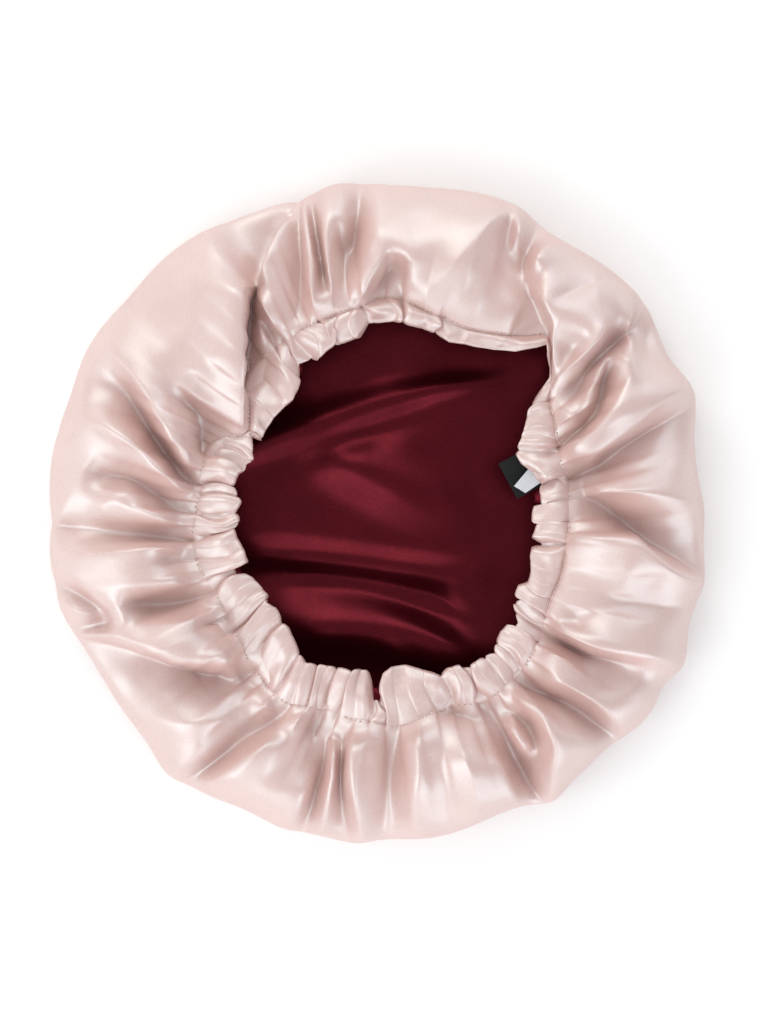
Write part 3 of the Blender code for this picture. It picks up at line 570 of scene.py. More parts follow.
def puff_rows():
    """The puffed side, its roll under the outer edge and the crown, as rows of points."""
    # The columns start where the gathers are at the stitches and even out towards the outer edge.
    even = np.arange(COLUMNS) * 360 / COLUMNS
    even = even + np.degrees(np.angle(np.exp(1j * np.radians(seam_angles - even)).mean()))
    drift = turned_from(even, seam_angles)
    fine = np.linspace(0, 1, 400)
    mean_radius = MEAN_SEAM + MEAN_DEPTH * fine
    arc = np.concatenate([[0], np.cumsum(np.hypot(np.diff(mean_radius), np.diff(side_profile(fine))))])
    row_arcs = np.linspace(0, arc[-1], PUFF_ROWS + 1)
    puff_shares = np.interp(row_arcs, arc, fine)
    shares = np.concatenate([puff_shares, np.ones(ROLL_ROWS)])
    angles = np.stack([even + drift * (1 - share) ** 1.2 for share in shares])
    turns = np.arange(1, ROLL_ROWS + 1) / ROLL_ROWS * math.pi / 2

    # Which way the cloth faces on each row, and the folds, which rise that way and fade under the edge.
    slope = np.gradient(side_profile(puff_shares), MEAN_SEAM + MEAN_DEPTH * puff_shares)
    outward = np.concatenate([-slope, np.cos(turns) / UNDER_ROLL])
    upward = np.concatenate([np.ones(PUFF_ROWS + 1), -np.sin(turns) / EDGE_HEIGHT])
    size = np.hypot(outward, upward)
    outward, upward = outward / size * (1 - 0.75 * shares**3), upward / size
    shift = soften(fold_shifts(angles, shares, row_arcs[1], outward), 1)
    fade = np.concatenate([np.ones(PUFF_ROWS + 1), (1 + np.cos(2 * turns)) / 2])
    rise = shift[..., 2] * FOLD_GAIN * fade[:, None]
    shift[..., 0] += rise * outward[:, None] * np.cos(np.radians(angles))
    shift[..., 1] += rise * outward[:, None] * np.sin(np.radians(angles))
    shift[..., 2] = rise * upward[:, None]

    # The casing's gathers run on past the stitches, with fine pleats between them, and die out.
    pinches = PINCH * np.clip(band_widths / PINCHED_BAND - 1, 0, 1)
    pinches = pinches * soften(chance.uniform(0.1, 1.6, (1, COLUMNS)), 12)[0]
    calm = 1 - FLAP_CALM * np.exp(-(turned_from(FLAP_ANGLE, seam_angles) / FLAP_SPREAD) ** 4)
    wave = (pillow * heights - GATHER_SINK * heights)[None] * calm
    pleat = soften(chance.normal(0, 1, (1, COLUMNS)), 36) * PLEAT_HEIGHT * calm
    rows = []
    for i, (share, run) in enumerate(zip(puff_shares, row_arcs)):
        pinch = -pinches * math.exp(-((run / PINCH_REACH) ** 2))
        near = np.exp(-((run / reach) ** 2)) * (1.0 - 0.2 * math.exp(-((run / 3) ** 2)))
        wave = soften(wave, 2 + i)
        pleat = soften(pleat, 1)
        height = side_profile(share) + pinch + wave[0] * soften(near[None], 30)[0]
        height = height + pleat[0] * math.exp(-run / PLEAT_REACH) * min(1, 0.3 + run / 6)
        seam, outer = seam_radius(angles[i]), outer_radius(angles[i])
        rows.append(ring(angles[i], seam + (outer - seam) * share, height))
    for turn in turns:
        radius = outer_radius(even) - UNDER_ROLL * (1 - math.cos(turn))
        rows.append(ring(even, radius, EDGE_HEIGHT * (1 - math.sin(turn)) + CLEAR))
    rows = np.stack(rows) + shift
    waves = crumple(rows[..., 0], rows[..., 1], 5, (22, 34, 50), CRUMPLE)
    rows[..., 2] += waves * np.clip(upward, 0, 1)[:, None]
    for i in range(1, CROWN_ROWS + 1):
        crown_row = ring(even, outer_radius(even) - UNDER_ROLL - CROWN_STEP * i, CLEAR)
        rows = np.concatenate([rows, crown_row[None]])
    rows[..., 2] = np.maximum(rows[..., 2], CLEAR)
    return rows


BAND = 1.3  # half of the casing's thickness
BAND_ROWS, LIP_ROWS, BACK_ROWS = 9, 5, 4  # over the casing's top, round its fold and over its underside
LIP_DRAW = 2.0  # how far the lip draws back at a crease
BROAD_PLEAT, FINE_PLEAT = 4.2, 0.35  # the height of the casing's uneven pleats


def casing_rows(stitched):
    """The casing: its top from the stitches to the lip, the fold and its underside. At the stitches it
    meets the puffed side's first row."""
    rows = []
    lip = lip_radius(lip_angles) - 1.0 + LIP_DRAW * (1 - pillow)
    pleats = soften(chance.normal(0, 1, (3, COLUMNS)), 70) * BROAD_PLEAT
    pleats += soften(chance.normal(0, 1, (3, COLUMNS)), 12) * FINE_PLEAT
    for i in range(BAND_ROWS + 1):
        s = 1 - i / BAND_ROWS
        here = lip_angles * (1 - s) + seam_angles * s + bend * math.sin(math.pi * s)
        radius = (lip + BAND) * (1 - s) + seam_radius(here) * s
        level = LIP_HEIGHT + (SEAM_HEIGHT - LIP_HEIGHT) * s + droop * (1 - s)
        swell = pillow * heights * (0.55 + 0.2 * s + 0.4 * np.sin(math.pi * (1 - s) ** peak))
        over = np.degrees(swell * lean * (1 - s * s) / radius)
        rounded = BAND * math.sin(math.pi / 2 * min(1, 1.5 * (1 - s)))
        row = ring(here + over, radius, level + rounded + swell)
        row[:, 2] += crumple(row[:, 0], row[:, 1], 8, (9, 14, 20), CRUMPLE * (1 - s**3))
        pleat = pleats[0] * (1 - s) ** 2 + 2 * pleats[1] * s * (1 - s) + pleats[2] * s * s
        row[:, 2] += pleat * (1 - s**4)
        rows.append(row)
    gap = stitched - rows[0]
    for i, row in enumerate(rows):
        row += gap * (1 - i / BAND_ROWS) ** 1.3
    top = rows[-1][:, 2]
    bottom = LIP_HEIGHT + droop - BAND
    middle, half = (top + bottom) / 2, (top - bottom) / 2
    lip_over = np.degrees(swell * lean / (lip + BAND))
    for i in range(1, LIP_ROWS + 1):
        turn = math.pi * i / LIP_ROWS
        here = lip_angles + lip_over * (1 + math.cos(turn)) / 2
        rows.append(ring(here, lip + BAND - BAND * math.sin(turn), middle + half * math.cos(turn)))
    for i in range(1, BACK_ROWS + 1):
        s = i / BACK_ROWS
        here = lip_angles * (1 - s) + seam_angles * s
        radius = (lip + BAND) * (1 - s) + seam_radius(here) * s
        rows.append(ring(here, radius, LIP_HEIGHT + droop * (1 - s) - BAND))
    rows.append(rows[0])
    return np.stack(rows)


def new_object(name, data):
    """Puts an object into the scene."""
    obj = bpy.data.objects.new(name, data)
    bpy.context.scene.collection.objects.link(obj)
    return obj


def sheet_object(name, corners, faces, laid):
    """A smooth sheet, in metres. Its UV map is the cloth laid flat: laid is where each corner lies on it."""
    mesh = bpy.data.meshes.new(name)
    mesh.from_pydata(corners.tolist(), [], faces)
    corner_points = np.empty(len(mesh.loops), dtype=np.int32)
    mesh.loops.foreach_get("vertex_index", corner_points)
    mesh.uv_layers.new(name="cloth").data.foreach_set("uv", laid[corner_points].ravel())
    mesh.shade_smooth()
    return new_object(name, mesh)


def round_cloth(name, points, flat, pole=None):
    """A sheet from a grid that is closed round its columns, with its last row drawn to a point if one is
    given. Flat holds each row's distance from the middle of the cloth laid flat."""
    rows, columns = points.shape[:2]
    at = np.arange(rows * columns).reshape(rows, columns)
    a, b = at[:-1], at[1:]
    faces = np.stack([a, b, np.roll(b, -1, axis=1), np.roll(a, -1, axis=1)], axis=-1)
    faces = faces.reshape(-1, 4).tolist()
    turn = np.arange(columns) * 2 * math.pi / columns
    laid = np.multiply.outer(flat, np.stack([np.cos(turn), np.sin(turn)], axis=-1)).reshape(-1, 2)
    corners = points.reshape(-1, 3)
    if pole is not None:
        last = at[-1].tolist()
        faces += [(last[k - 1], len(corners), last[k]) for k in range(columns)]
        corners = np.vstack([corners, pole])
        laid = np.vstack([laid, (0, 0)])
    return sheet_object(name, corners * MM, faces, laid * MM)


FLAT_EDGE, FLAT_UNDER = 180, 150  # where the outer edge and the crown's first rows lie on the flat cloth

panel = puff_rows()
side_flat = np.linspace(PANEL_RADIUS - CASING_WIDTH, FLAT_EDGE, PUFF_ROWS + 1)
under_flat = np.linspace(FLAT_EDGE, FLAT_UNDER, ROLL_ROWS + CROWN_ROWS + 1)[1:]
shell = round_cloth("shell_cloth", panel, np.concatenate([side_flat, under_flat]), (*CENTRE, CLEAR))
band = casing_rows(panel[0])
band_flat = np.linspace(PANEL_RADIUS - CASING_WIDTH, PANEL_RADIUS, len(band))
casing = round_cloth("casing_cloth", band[:, ::-1], band_flat)


def shader_group(name, inputs, outputs):
    """An empty node group for materials, with its named sockets, and the nodes at its two ends."""
    group = bpy.data.node_groups.new(name, "ShaderNodeTree")
    for socket, kind in inputs.items():
        group.interface.new_socket(socket, in_out="INPUT", socket_type="NodeSocket" + kind)
    for socket, kind in outputs.items():
        group.interface.new_socket(socket, in_out="OUTPUT", socket_type="NodeSocket" + kind)
    return group, group.nodes.new("NodeGroupInput").outputs, group.nodes.new("NodeGroupOutput").inputs


def add_node(tree, kind, settings=None, **inputs):
    """Adds a node. An input that is given as a socket is linked, and any other is set."""
    node = tree.nodes.new(kind)
    for setting, value in (settings or {}).items():
        setattr(node, setting, value)
    for socket, value in inputs.items():
        socket = int(socket[1:]) if socket[1:].isdigit() else socket.replace("_", " ")
        if isinstance(value, bpy.types.NodeSocket):
            tree.links.new(value, node.inputs[socket])
        else:
            node.inputs[socket].default_value = value
    return node


def calculate(tree, operation, *values, clamp=False):
    """The result of a math node."""
    settings = {"operation": operation, "use_clamp": clamp}
    inputs = {f"_{k}": value for k, value in enumerate(values)}
    return add_node(tree, "ShaderNodeMath", settings, **inputs).outputs[0]


def new_material(name, **constants):
    """A material whose surface has the given constants on its sockets."""
    material = bpy.data.materials.new(name)
    material.use_nodes = True
    for socket, value in constants.items():
        material.node_tree.nodes["Principled BSDF"].inputs[socket.replace("_", " ")].default_value = value
    return material


def colour_surface(material, mask, dark, light):
    """Colours a material's surface between two colours, by a mask."""
    tree = material.node_tree
    colour = add_node(tree, "ShaderNodeMix", {"data_type": "RGBA"}, Factor=mask)
    colour.inputs["A"].default_value = (*dark, 1)
    colour.inputs["B"].default_value = (*light, 1)
    tree.links.new(colour.outputs["Result"], tree.nodes["Principled BSDF"].inputs["Base Color"])


def roughen_surface(material, relief, strength, depth):
    """Gives a material's surface a fine relief, whose depth is in metres."""
    tree = material.node_tree
    bump = add_node(tree, "ShaderNodeBump", Strength=strength, Distance=depth, Height=relief)
    tree.links.new(bump.outputs[0], tree.nodes["Principled BSDF"].inputs["Normal"])


# Satin: long, fine floats of yarn along the cloth, a fine speckle and a soft cloudiness.
satin, given, made = shader_group(
    "satin", {"Cloth": "Vector", "Grain": "Float", "Cloud": "Float"},
    {"Tone": "Float", "Gloss": "Float", "Height": "Float"},
)
along_yarn = add_node(satin, "ShaderNodeMapping", Vector=given["Cloth"], Scale=(160, 2200, 1))
yarn = add_node(satin, "ShaderNodeTexNoise", Vector=along_yarn.outputs[0], Scale=1.0, Detail=2.0)
speck = add_node(satin, "ShaderNodeTexNoise", Vector=given["Cloth"], Scale=750.0, Detail=2.0)
cloud = add_node(satin, "ShaderNodeTexNoise", Vector=given["Cloth"], Scale=30.0, Detail=3.0)
grain = calculate(satin, "MULTIPLY_ADD", yarn.outputs["Fac"], 0.5, -0.25)
grain = calculate(satin, "MULTIPLY_ADD", speck.outputs["Fac"], 0.5, grain)
grain_part = calculate(satin, "MULTIPLY", grain, given["Grain"])
cloud_part = calculate(satin, "MULTIPLY", cloud.outputs["Fac"], given["Cloud"])
satin.links.new(calculate(satin, "ADD", grain_part, cloud_part, clamp=True), made["Tone"])
satin.links.new(cloud.outputs["Fac"], made["Gloss"])
satin.links.new(grain, made["Height"])
SATIN_CLOUD = 0.5
SATIN_RELIEF = 0.00005  # metres


def satin_material(name, dark, light, rough, grain, **constants):
    """A satin between two colours, with its range of roughness and how much its grain shows."""
    material = new_material(name, **constants)
    tree = material.node_tree
    cloth = add_node(tree, "ShaderNodeUVMap", {"uv_map": "cloth"}).outputs[0]
    weave = add_node(
        tree, "ShaderNodeGroup", {"node_tree": satin}, Cloth=cloth, Grain=grain, Cloud=SATIN_CLOUD
    ).outputs
    colour_surface(material, weave["Tone"], dark, light)
    gloss = add_node(
        tree, "ShaderNodeMapRange", Value=weave["Gloss"], From_Min=0.3, From_Max=0.7,
        To_Min=rough[0], To_Max=rough[1],
    )
    tree.links.new(gloss.outputs[0], tree.nodes["Principled BSDF"].inputs["Roughness"])
    roughen_surface(material, weave["Height"], 1.0, SATIN_RELIEF)
    return material


blush = satin_material(
    "blush_satin", (0.53, 0.304, 0.273), (0.74, 0.483, 0.44), (0.44, 0.37), 1.4,
    IOR=3.1, Specular_Tint=(0.8, 0.98, 1, 1),
)
for piece in (casing, shell):
    piece.data.materials.append(blush)
    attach(piece, "root")
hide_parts("casing")
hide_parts("shell")

# ---------------------------------------------------------------------------------------------------
# The stitches: one row of zigzag in matching thread, which holds the casing's edge down to the panel and
# sinks a little into the cloth.

STITCH_PITCH = 2.1  # from one stitch to the next
STITCH_LENGTH = 1.7
THREAD = 0.75  # how thick it is
ZIGZAG = 24  # degrees off the seam, left and right in turn
STITCH_LIFT = 0.45  # of the thread's middle above the cloth
LEAST_BAND, CLOSED_CREASE = 4, 0.72  # the gathers close over the stitches at narrower bands, deeper creases

seam_points = (panel[0] + panel[1]) / 2 + (0, 0, STITCH_LIFT)
shown = (band_widths > LEAST_BAND) & (depth < CLOSED_CREASE)
seam_edges = [(k, (k + 1) % COLUMNS) for k in range(COLUMNS) if shown[k] and shown[(k + 1) % COLUMNS]]
seam_mesh = bpy.data.meshes.new("seam_line")
seam_mesh.from_pydata((seam_points * MM).tolist(), seam_edges, [])
seam_line = new_object("seam_line", seam_mesh)

thread = new_material("blush_thread", Roughness=0.6)
place = add_node(thread.node_tree, "ShaderNodeTexCoord")
fibre = add_node(thread.node_tree, "ShaderNodeTexNoise", Vector=place.outputs["Object"], Scale=2500.0)
colour_surface(thread, fibre.outputs["Fac"], (0.55, 0.4, 0.36), (0.74, 0.6, 0.55))

tree = bpy.data.node_groups.new("stitch_row", "GeometryNodeTree")
tree.interface.new_socket("Geometry", in_out="INPUT", socket_type="NodeSocketGeometry")
sizes = {
    "Pitch": STITCH_PITCH * MM,
    "Length": STITCH_LENGTH * MM,
    "Thread": THREAD * MM,
    "Zigzag": math.radians(ZIGZAG),
}
sockets = {}
for name in sizes:
    sockets[name] = tree.interface.new_socket(name, in_out="INPUT", socket_type="NodeSocketFloat")
tree.interface.new_socket("Geometry", in_out="OUTPUT", socket_type="NodeSocketGeometry")
given = tree.nodes.new("NodeGroupInput").outputs
seam_curve = add_node(tree, "GeometryNodeMeshToCurve", Mesh=given["Geometry"]).outputs[0]
spaced = add_node(
    tree, "GeometryNodeResampleCurve", {"mode": "LENGTH"}, Curve=seam_curve, Length=given["Pitch"]
).outputs[0]
tangent = add_node(tree, "GeometryNodeInputTangent").outputs[0]
along_seam = add_node(tree, "FunctionNodeAlignRotationToVector", {"axis": "X"}, Vector=tangent).outputs[0]
number = add_node(tree, "GeometryNodeInputIndex").outputs[0]
side = calculate(tree, "MULTIPLY_ADD", calculate(tree, "PINGPONG", number, 1.0), 2.0, -1.0)
swing = calculate(tree, "MULTIPLY", side, given["Zigzag"])
turn = add_node(tree, "ShaderNodeCombineXYZ", Z=swing).outputs[0]
turned = add_node(
    tree, "FunctionNodeRotateRotation", {"rotation_space": "LOCAL"}, Rotation=along_seam, Rotate_By=turn
).outputs[0]
size = add_node(
    tree, "ShaderNodeCombineXYZ", X=given["Length"], Y=given["Thread"], Z=given["Thread"]
).outputs[0]
bead = add_node(tree, "GeometryNodeMeshUVSphere", Segments=8, Rings=6, Radius=0.5).outputs[0]
row = add_node(
    tree, "GeometryNodeInstanceOnPoints", Points=spaced, Instance=bead, Rotation=turned, Scale=size
).outputs[0]
real = add_node(tree, "GeometryNodeRealizeInstances", Geometry=row).outputs[0]
smooth_row = add_node(tree, "GeometryNodeSetShadeSmooth", Geometry=real).outputs[0]
done = add_node(tree, "GeometryNodeSetMaterial", Geometry=smooth_row, Material=thread).outputs[0]
tree.links.new(done, tree.nodes.new("NodeGroupOutput").inputs["Geometry"])

modifier = seam_line.modifiers.new("stitch_row", "NODES")
modifier.node_group = tree
for name, value in sizes.items():
    modifier[sockets[name].identifier] = value
evaluated = seam_line.evaluated_get(bpy.context.evaluated_depsgraph_get())
stitches = new_object("casing_stitches", bpy.data.meshes.new_from_object(evaluated))
bpy.data.objects.remove(seam_line)
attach(stitches, "root")

# ---------------------------------------------------------------------------------------------------
# The lining: the same round panel in burgundy satin, sewn in under the casing. It hangs down inside the
# puffed side and lies loose on the crown, where it has a few long, shallow folds.

LINING_COLUMNS = 420
# From the opening inwards: (share of the way from the stitches to the outer edge, height).
LINING_SIDE = (
    (0.0, 21), (0.1, 15), (0.3, 9), (0.5, 9), (0.7, 8.5), (0.79, 8), (0.82, 5.5), (0.78, 4), (0.68, 3),
)
LINING_GATHER = 13.4  # how deep the gathers are that it hangs in
GATHER_COUNT = 46  # all round
FLOOR_ROWS = 62  # over the crown
FLOOR_HEIGHT = 2.2  # of the lining where it lies on the crown
FLOOR_GAIN = 3.0  # how high its folds stand there, for each unit of their height below
FLOOR_LEAST = 1.0  # how far the lining is kept above the floor
LINE_SPACING = 1.5  # between the points of a fold's line
FOLD_END = 30.0  # how soon a fold rises from its ends
# Where the lining's edge shows past the lip: (angle, half the width in degrees, how far).
PEEKS = (
    (5.8, 2.6, 5.5), (357, 2.2, 3.5), (12, 2.2, 1.5), (118.6, 1.6, 3), (191.5, 3.5, 2), (202, 2.4, 4.5),
    (268.6, 1.6, 3), (318, 2, 1.5),
)

# The folds on the crown: their height, how wide they are, and their line from above, from the middle of
# the opening.
FloorFold = namedtuple("FloorFold", "height width line")
FLOOR_FOLDS = (
    FloorFold(1.9, 9, ((-106, 19), (-74, 33), (-50, 42), (-20, 52), (5, 59), (25, 64), (45, 67))),
    FloorFold(1.1, 5, ((6, 60), (28, 66), (45, 68.5), (60, 69.5), (72, 74))),
    FloorFold(-1.1, 9, ((-66, 23), (-40, 29), (-15, 40), (14, 52), (42, 58))),
    FloorFold(2.9, 15, ((-50, 34), (-32, 32), (-13, 25), (10, 13), (30, 3), (48, -5))),
    FloorFold(1.4, 32, ((-25, 56), (5, 42), (35, 26), (60, 14))),
    FloorFold(2.0, 9, ((-85, -20), (-50, -22.5), (-23, -25.5), (4, -28.5), (30, -31), (62, -33))),
    FloorFold(-1.6, 9, ((-70, -32), (-40, -33.5), (-10, -37), (12, -43.5), (39, -52.5), (65, -59.4))),
    FloorFold(3.4, 14, ((-62, -62), (-35, -61), (-8, -60), (12, -66), (28, -74), (44, -82), (60, -90))),
    FloorFold(1.2, 6, ((-4, -54), (14, -59), (28, -65), (42, -72), (56, -79))),
    FloorFold(1.2, 8, ((25, -42), (45, -50), (66, -56))),
)


def floor_folds(x, y):
    """The height of the folds on the crown, for points of the lining seen from above."""
    total = np.zeros_like(x)
    for fold in FLOOR_FOLDS:
        line = np.array(fold.line, float)
        run = np.concatenate([[0], np.cumsum(np.hypot(*np.diff(line, axis=0).T))])
        for place in np.arange(0, run[-1], LINE_SPACING):
            ends = min(1, place / FOLD_END, (run[-1] - place) / FOLD_END)
            line_x, line_y = (np.interp(place, run, values) for values in line.T)
            away = (x - line_x) ** 2 + (y - line_y) ** 2
            total += fold.height * ends * 0.85 / fold.width * np.exp(-away / fold.width**2)
    return FLOOR_GAIN * total


def lining_rows():
    """The lining, from its edge under the casing, down inside the puffed side and over the crown."""
    around = np.arange(LINING_COLUMNS) * 360 / LINING_COLUMNS
    ruffle = chance.uniform(-1, 1, LINING_COLUMNS)
    ruffle = (ruffle + np.roll(ruffle, 1) + np.roll(ruffle, 2)) / 3
    uneven = 1.5 * np.sin(np.radians(5 * around))
    gathers = np.sin(np.radians(GATHER_COUNT * around) + uneven) * (1 + 0.4 * ruffle)
    lip = lip_radius(around)
    lip = (np.roll(lip, 2) + np.roll(lip, -2) + lip) / 3
    peek = sum(far * np.exp(-(turned_from(angle, around) / width) ** 4) for angle, width, far in PEEKS)
    seam, outer = seam_radius(around), outer_radius(around)
    under = LIP_HEIGHT - BAND - 1.0
    rows = [
        ring(around, lip + 6, under + 0.3),
        ring(around, lip + 1.6 + 0.8 * ruffle - peek, under - 0.4 + 0.35 * peek),
        ring(around, lip + 2.0 + 0.8 * ruffle - peek, under - 1.6 + 0.1 * peek),
        ring(around, lip + 7, under - 4 + 0.8 * ruffle),
    ]
    for share, height in LINING_SIDE:
        hang = LINING_GATHER * gathers * min(1, 0.25 + 2.5 * share)
        radius = np.minimum(seam + (outer - seam) * share - 0.4 * hang, outer - UNDER_ROLL)
        rows.append(ring(around, radius, height + hang * min(1, height / 14)))
    edge = seam + (outer - seam) * LINING_SIDE[-1][0]
    for i in range(1, FLOOR_ROWS):
        run_out = max(0, 1 - 2.6 * i / FLOOR_ROWS) ** 2
        rows.append(ring(around, edge * (1 - i / FLOOR_ROWS), FLOOR_HEIGHT + run_out * (1 + gathers)))
    rows = np.stack(rows)

    # The folds on the crown lift only the cloth that lies low and well inside the puffed side.
    x, y = rows[..., 0] - CENTRE[0], rows[..., 1] - CENTRE[1]
    low = np.clip((8 - rows[..., 2]) / 5, 0, 1) * np.clip((135 - np.hypot(x, y)) / 20, 0, 1)
    lifted = rows[..., 2] + low * (floor_folds(x, y) + FLOOR_LEAST)
    rows[..., 2] = np.maximum(lifted, FLOOR_LEAST)
    return rows


lining_grid = lining_rows()
lining_flat = np.linspace(PANEL_RADIUS, 2, len(lining_grid))
middle_height = FLOOR_HEIGHT + FLOOR_LEAST + float(floor_folds(np.zeros(1), np.zeros(1))[0])
lining = round_cloth("lining_cloth", lining_grid[:, ::-1], lining_flat, (*CENTRE, middle_height))
burgundy = satin_material(
    "burgundy_satin", (0.03, 0.0007, 0.0018), (0.132, 0.008, 0.017), (0.33, 0.26), 1.5,
    Metallic=0.75, Specular_IOR_Level=0.2,
)
lining.data.materials.append(burgundy)
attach(lining, "root")
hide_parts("lining")

# ---------------------------------------------------------------------------------------------------
# The labels: a folded black woven one and a small one of plain white ribbon. Both are caught in the
# casing's seam on the right of the opening and lie out over the edge of the mouth.

# Each has its size as cut, its corners from above, the height of its far end, how far its near end droops,
# how much it curls, its thickness, two colours and its roughness.
Label = namedtuple("Label", "name node slot cut corners height droop curl thick dark light rough")
LABELS = (
    Label("woven_label_ribbon", "woven_label", "black_label", (21.5, 23),
          ((63.4, 25.6), (73.5, 7.0), (93.0, 17.5), (83.0, 36.0)), 31.2, 2.4, 0.7, 0.55,
          (0.003, 0.0033, 0.0035), (0.014, 0.015, 0.016), 0.6),
    Label("care_label_ribbon", "care_label", "white_label", (11, 15),
          ((71.7, 13.8), (77.8, 10.1), (88.5, 17.5), (82.0, 26.0)), 33.0, 1.0, 0.5, 0.25,
          (0.55, 0.56, 0.6), (0.74, 0.75, 0.79), 0.4),
)
LABEL_STEPS = 20  # of its grid, each way
LABEL_RIBS = 600.0  # how fine the ribs are
LABEL_RELIEF = 0.00008  # metres

# Ribbon: fine ribs across the strip and a fainter row of warp ends along it.
ribbon, given, made = shader_group(
    "ribbon", {"Cloth": "Vector", "Ribs": "Float"}, {"Tone": "Float", "Height": "Float"}
)
fineness = {"Vector": given["Cloth"], "Scale": given["Ribs"]}
ribs = add_node(ribbon, "ShaderNodeTexWave", {"bands_direction": "Y"}, **fineness)
ends = add_node(ribbon, "ShaderNodeTexWave", {"bands_direction": "X"}, **fineness)
fuzz = add_node(ribbon, "ShaderNodeTexNoise", Vector=given["Cloth"], Scale=900.0)
weave = calculate(ribbon, "MULTIPLY_ADD", ends.outputs["Fac"], 0.4, ribs.outputs["Fac"])
ribbon.links.new(calculate(ribbon, "MULTIPLY", weave, fuzz.outputs["Fac"]), made["Tone"])
ribbon.links.new(weave, made["Height"])

for label in LABELS:
    near_left, near_right, far_right, far_left = (np.array(corner, float) for corner in label.corners)
    ticks = np.linspace(0, 1, LABEL_STEPS + 1)
    along, across = (grid[..., None] for grid in np.meshgrid(ticks, ticks, indexing="ij"))
    place = (near_left * (1 - across) + near_right * across) * (1 - along)
    place = place + (far_left * (1 - across) + far_right * across) * along
    level = label.height - label.droop * (1 - along) ** 2 + label.curl * np.cos(3 * across + 2 * along)
    corners = (np.concatenate([place, level], axis=-1) * MM).reshape(-1, 3)
    at = np.arange(len(corners)).reshape(LABEL_STEPS + 1, -1)
    faces = np.stack([at[:-1, :-1], at[:-1, 1:], at[1:, 1:], at[1:, :-1]], axis=-1).reshape(-1, 4)
    width = np.linalg.norm(near_right - near_left) * MM
    length = np.linalg.norm(far_left - near_left) * MM
    laid = np.concatenate([across * width, along * length], axis=-1).reshape(-1, 2)
    piece = sheet_object(label.name, corners, faces.tolist(), laid)
    wall = piece.modifiers.new("thickness", "SOLIDIFY")
    wall.thickness, wall.offset = label.thick * MM, 0
    edge = piece.modifiers.new("edge", "BEVEL")
    edge.width, edge.segments, edge.limit_method = 0.3 * label.thick * MM, 2, "ANGLE"
    material = new_material(label.slot, Roughness=label.rough, Specular_IOR_Level=0.2)
    tree = material.node_tree
    cloth = add_node(tree, "ShaderNodeUVMap", {"uv_map": "cloth"}).outputs[0]
    weave = add_node(tree, "ShaderNodeGroup", {"node_tree": ribbon}, Cloth=cloth, Ribs=LABEL_RIBS).outputs
    colour_surface(material, weave["Tone"], label.dark, label.light)
    roughen_surface(material, weave["Height"], 0.6, LABEL_RELIEF)
    piece.data.materials.append(material)
    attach(piece, "root")
    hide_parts(label.node)

# ---------------------------------------------------------------------------------------------------
# The studio: a floor of white paper in a light tent, with low softboxes all round except on the right, and
# a camera that looks straight down. Its lengths are in metres.

FLOOR_SIDE = 12.0
half = FLOOR_SIDE / 2
floor_mesh = bpy.data.meshes.new("floor")
floor_corners = [(-half, -half, 0), (half, -half, 0), (half, half, 0), (-half, half, 0)]
floor_mesh.from_pydata(floor_corners, [], [(0, 1, 2, 3)])
floor = new_object("floor", floor_mesh)
floor.data.materials.append(new_material("paper", Base_Color=(0.95, 0.95, 0.95, 1), Roughness=0.9))

# The tent is white, and darker on its open side, on the right.
world = bpy.data.worlds.new("studio")
bpy.context.scene.world = world
world.use_nodes = True
tree = world.node_tree
tree.nodes["Background"].inputs["Color"].default_value = (1, 1, 1, 1)
toward = add_node(tree, "ShaderNodeTexCoord").outputs["Generated"]
rightward = add_node(tree, "ShaderNodeSeparateXYZ", Vector=toward).outputs["X"]
glow = add_node(tree, "ShaderNodeMapRange", Value=rightward, From_Min=-1.0, To_Min=0.72, To_Max=0.56)
tree.links.new(glow.outputs[0], tree.nodes["Background"].inputs["Strength"])

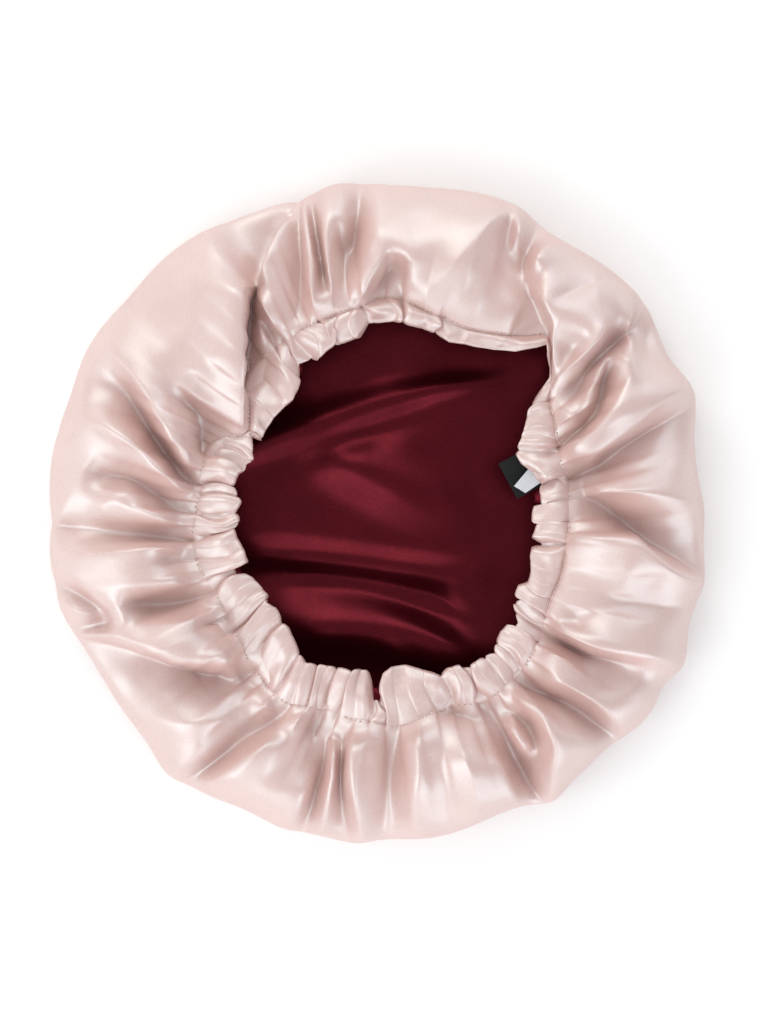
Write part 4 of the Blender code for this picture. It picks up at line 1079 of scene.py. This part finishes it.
# The softboxes are square and face the bonnet. Turn is in degrees round it, and rise in degrees above the
# floor.
SOFTBOX_SIZE, SOFTBOX_DISTANCE = 1.1, 1.5
Softbox = namedtuple("Softbox", "name turn rise power colour")
SOFTBOXES = (
    Softbox("key", 217, 37, 8.2, (0.96, 0.99, 1)),
    Softbox("warm_back", 100, 36, 5.8, (1, 0.96, 0.9)),
    Softbox("left", 180, 22, 2.3, (0.96, 0.99, 1)),
    Softbox("warm_low_back", 115, 22, 2.5, (1, 0.96, 0.9)),
    Softbox("front", 262, 22, 3.2, (0.95, 0.98, 1)),
    Softbox("cool_front", 310, 22, 7.0, (0.93, 0.96, 1)),
    Softbox("cool_side", 60, 22, 4.6, (0.88, 0.93, 1)),
)
for softbox in SOFTBOXES:
    light = bpy.data.lights.new(softbox.name, "AREA")
    light.size = SOFTBOX_SIZE
    light.energy = softbox.power
    light.color = softbox.colour
    lamp = new_object(softbox.name, light)
    turn, rise = math.radians(softbox.turn), math.radians(softbox.rise)
    level_distance = SOFTBOX_DISTANCE * math.cos(rise)
    lamp.location = (
        level_distance * math.cos(turn),
        level_distance * math.sin(turn),
        SOFTBOX_DISTANCE * math.sin(rise),
    )
    lamp.rotation_euler = (-lamp.location).to_track_quat("-Z", "Y").to_euler()

CAMERA_HEIGHT = 3.0
CAMERA_ASIDE = (2.1, 0.5)  # millimetres, from the middle of the opening
VIEW_HEIGHT = 1024 * 0.53 * MM  # the photo's height, at 0.53 mm a pixel
SCALE_HEIGHT = 0.025  # where that scale holds, above the floor
camera_data = bpy.data.cameras.new("camera")
camera_data.sensor_width = 36
camera_data.lens = camera_data.sensor_width / 2 / (VIEW_HEIGHT / 2 / (CAMERA_HEIGHT - SCALE_HEIGHT))
camera = new_object("camera", camera_data)
camera.location = (
    (CENTRE[0] + CAMERA_ASIDE[0]) * MM,
    (CENTRE[1] + CAMERA_ASIDE[1]) * MM,
    CAMERA_HEIGHT,
)
bpy.context.scene.camera = camera
bpy.context.scene.view_settings.view_transform = "Standard"
